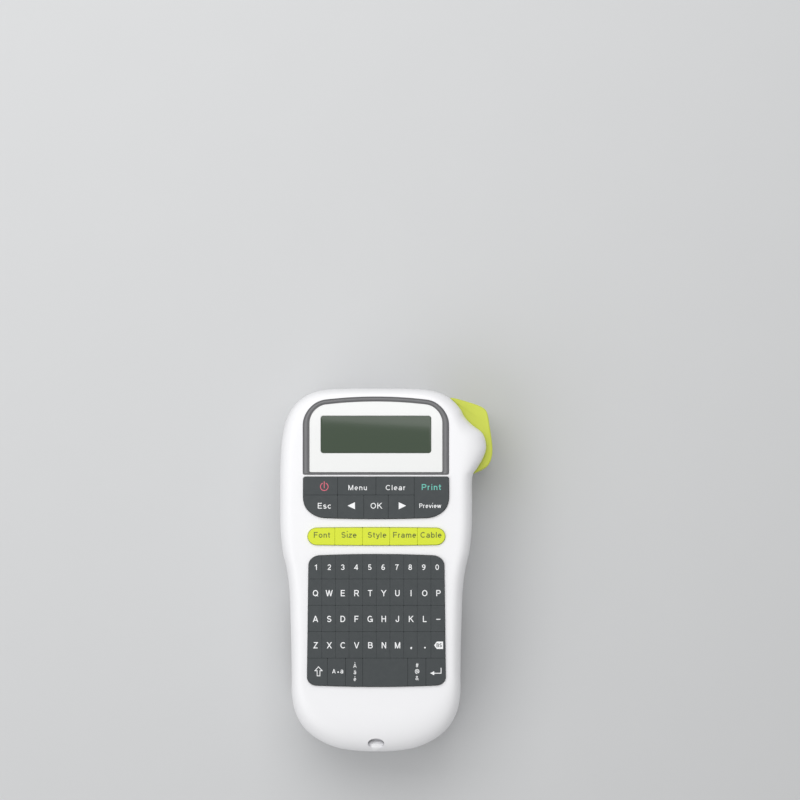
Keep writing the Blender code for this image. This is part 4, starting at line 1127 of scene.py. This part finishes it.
def lever_outline():
    knuckle = [
        LEVER_PIVOT + KNUCKLE_RADIUS * Vector((math.cos(a), math.sin(a)))
        for a in (math.radians(d) for d in (160, 195, 230, 265, 300))
    ]
    rest = [(60, 57.2), (64.6, 60.4), (66.3, 66), (66.2, 72), (65.0, 80), (63.9, 87.5), (62.9, 91.2),
            (59.8, 93.6), (52, 96.2), (42.6, 98.8), (41.5, 97.5), (43.5, 94), (42.0, 92.2), (42.0, 89.8),
            (46.5, 87.5), (50.6, 81), (52.4, 73), (50.6, 64)]
    return knuckle + [Vector(p) for p in rest]


def make_lever():
    outline = rounded(lever_outline(), 2)
    edge = [(inset(outline, LEVER_EDGE * inwards), LEVER_EDGE * (1 - up)) for inwards, up in quarter_round(4)]
    rings = [(level, LEVER_FOOT + away) for level, away in reversed(edge)]
    rings += [(level, LEVER_TOP - away) for level, away in edge]
    lever = solid("cut_lever", add_loft, rings)
    cut(lever, add_prism, circle(LEVER_PIVOT, LEVER_BORE, 24), 10, 50)
    # Grip grooves down the outer face.
    for k in range(LEVER_GROOVES):
        y = LEVER_GROOVE_START + LEVER_GROOVE_PITCH * k
        x = LEVER_SIDE - max(0.0, y - LEAN_START) * LEAN
        cut(lever, add_egg, (x, y, LEVER_GROOVE_Z), LEVER_GROOVE_RADII, 16, 16)
    place(smooth(settle(lever)), "cutter_lever", LEVER, ["cutter_lever"])


# ---- battery cells
CELL_SIDES = 48
# Distance along the cell from its positive end, and the radius there.
CELL_PROFILE = (
    (0.0, 1.0), (0.0, 1.7), (0.12, 1.85), (0.8, 1.9), (0.85, 2.6), (1.0, 3.9), (1.05, 4.55), (1.35, 4.9),
    (1.7, 5.1), (2.2, 5.2), (2.9, 5.22), (3.0, 5.25), (44.0, 5.25), (44.3, 5.18), (44.6, 4.9), (44.75, 4.4),
    (44.7, 3.6), (44.9, 3.3), (45.3, 3.1), (45.3, 1.0),
)
WRAP_FROM, WRAP_TO = 1.05, 44.6  # the printed wrap covers this stretch, and the rest is bare metal


def make_cells():
    for k in range(6):
        low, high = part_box(f"battery_cell_{k + 1}")
        low, high = Vector(low) / MM, Vector(high) / MM
        middle = (low + high) / 2
        start, way = (low.y, 1) if k % 2 else (high.y, -1)

        def build(bm):
            join(bm, [
                [bm.verts.new((p.x, start + way * along, p.y))
                 for p in circle((middle.x, middle.z), radius, CELL_SIDES)]
                for along, radius in CELL_PROFILE
            ])
            for face in bm.faces:
                along = abs(face.calc_center_median().y - start)
                face.material_index = 0 if WRAP_FROM < along < WRAP_TO else 1

        cell = smooth(solid(f"cell_{k + 1}", build), 40)
        place(cell, "housing", CELL, [f"battery_cell_{k + 1}"])
        cell.data.materials.append(STEEL)


# ---- the rest of the mechanism
def finish_nodes():
    """Materials for the CAD nodes that keep their shape."""
    looks = (
        (BOARD, "main_board"), (CASSETTE, "cassette_case"), (CERAMIC, "print_head"),
        (RUBBER, "keypad_mat platen_roller"), (TAPE, "label_tape tape_roll"),
        (BLACK, "dc_jack blade_carrier"),
        (NYLON, "platen_arm platen_gear motor_pinion idler_gear takeup_spindle"),
        (STEEL, "battery_contacts_upper battery_contacts_lower head_heatsink chassis_plate drive_motor"),
        (STEEL, "lever_spring case_screw_1 case_screw_2 case_screw_3 cutter_blade"),
    )
    for look, names in looks:
        for name in names.split():
            NODES[name].data.materials.clear()
            NODES[name].data.materials.append(look)


# ---- stage
FLOOR_HALF = 1500.0
WORLD_STRENGTH = 0.5
# Place, size and aim in metres, power in watts and spin in degrees. The key light's near edge mirrors in the
# upper edge of the screen glass.
LIGHTS = (
    ("key_light", (-0.25, 0.779, 1.0), 1.3, 10.0, (-0.25, 0.779, 0.0), -3.5),
    ("fill_light", (-0.8, -0.5, 1.0), 1.0, 4.0, (0.0, 0.0, 0.03), 0.0),
)


def make_stage():
    floor = solid("floor", add_box, (-FLOOR_HALF, FLOOR_HALF) * 2, -1.0, 0.0)
    floor.data.materials.append(plastic("floor_pale", (206, 207, 208), 0.8, grain=3, depth=0.0, drift=0.0))
    world = bpy.data.worlds.new("studio")
    bpy.context.scene.world = world
    world.use_nodes = True
    fill(world.node_tree.nodes["Background"], {"Color": (1, 1, 1, 1), "Strength": WORLD_STRENGTH})
    for name, place_at, size, power, aim, spin in LIGHTS:
        data = bpy.data.lights.new(name, "AREA")
        data.size = size
        data.energy = power
        lamp = link(name, data)
        lamp.location = place_at
        lamp.rotation_euler = (Vector(aim) - Vector(place_at)).to_track_quat("-Z", "Y").to_euler()
        lamp.rotation_euler.z += math.radians(spin)


VIEW_WIDTH = 454.0  # millimetres that the picture takes in at the object's distance
VIEW_CENTRE = (13.62, 96.76)  # the object lies low in the picture and a little to the left
KEY_FACE_Z = 50.0
DISTANCE = 4000.0
ELEVATION = 88.0
SENSOR = 36.0


def make_camera():
    data = bpy.data.cameras.new("camera")
    camera = link("camera", data)
    bpy.context.scene.camera = camera
    up = math.radians(ELEVATION)
    to_camera = Vector((0, -math.cos(up), math.sin(up)))
    upwards = Vector((0, math.sin(up), math.cos(up)))
    right = Vector((1, 0, 0))
    aim = Vector((0, 0, KEY_FACE_Z)) + right * VIEW_CENTRE[0] + upwards * VIEW_CENTRE[1]
    camera.location = (aim + to_camera * DISTANCE) * MM
    camera.rotation_euler = to_camera.to_track_quat("Z", "Y").to_euler()
    data.sensor_width = SENSOR
    data.lens = SENSOR * DISTANCE / VIEW_WIDTH
    data.clip_start = 0.05
    data.clip_end = 20
    data.dof.use_dof = False
    bpy.context.scene.view_settings.view_transform = "Standard"


make_front()
make_rear()
make_cover()
make_screen()
make_function_keys()
make_colour_keys()
make_letter_keys()
make_bottom_keys()
make_lever()
make_cells()
finish_nodes()
make_stage()
make_camera()
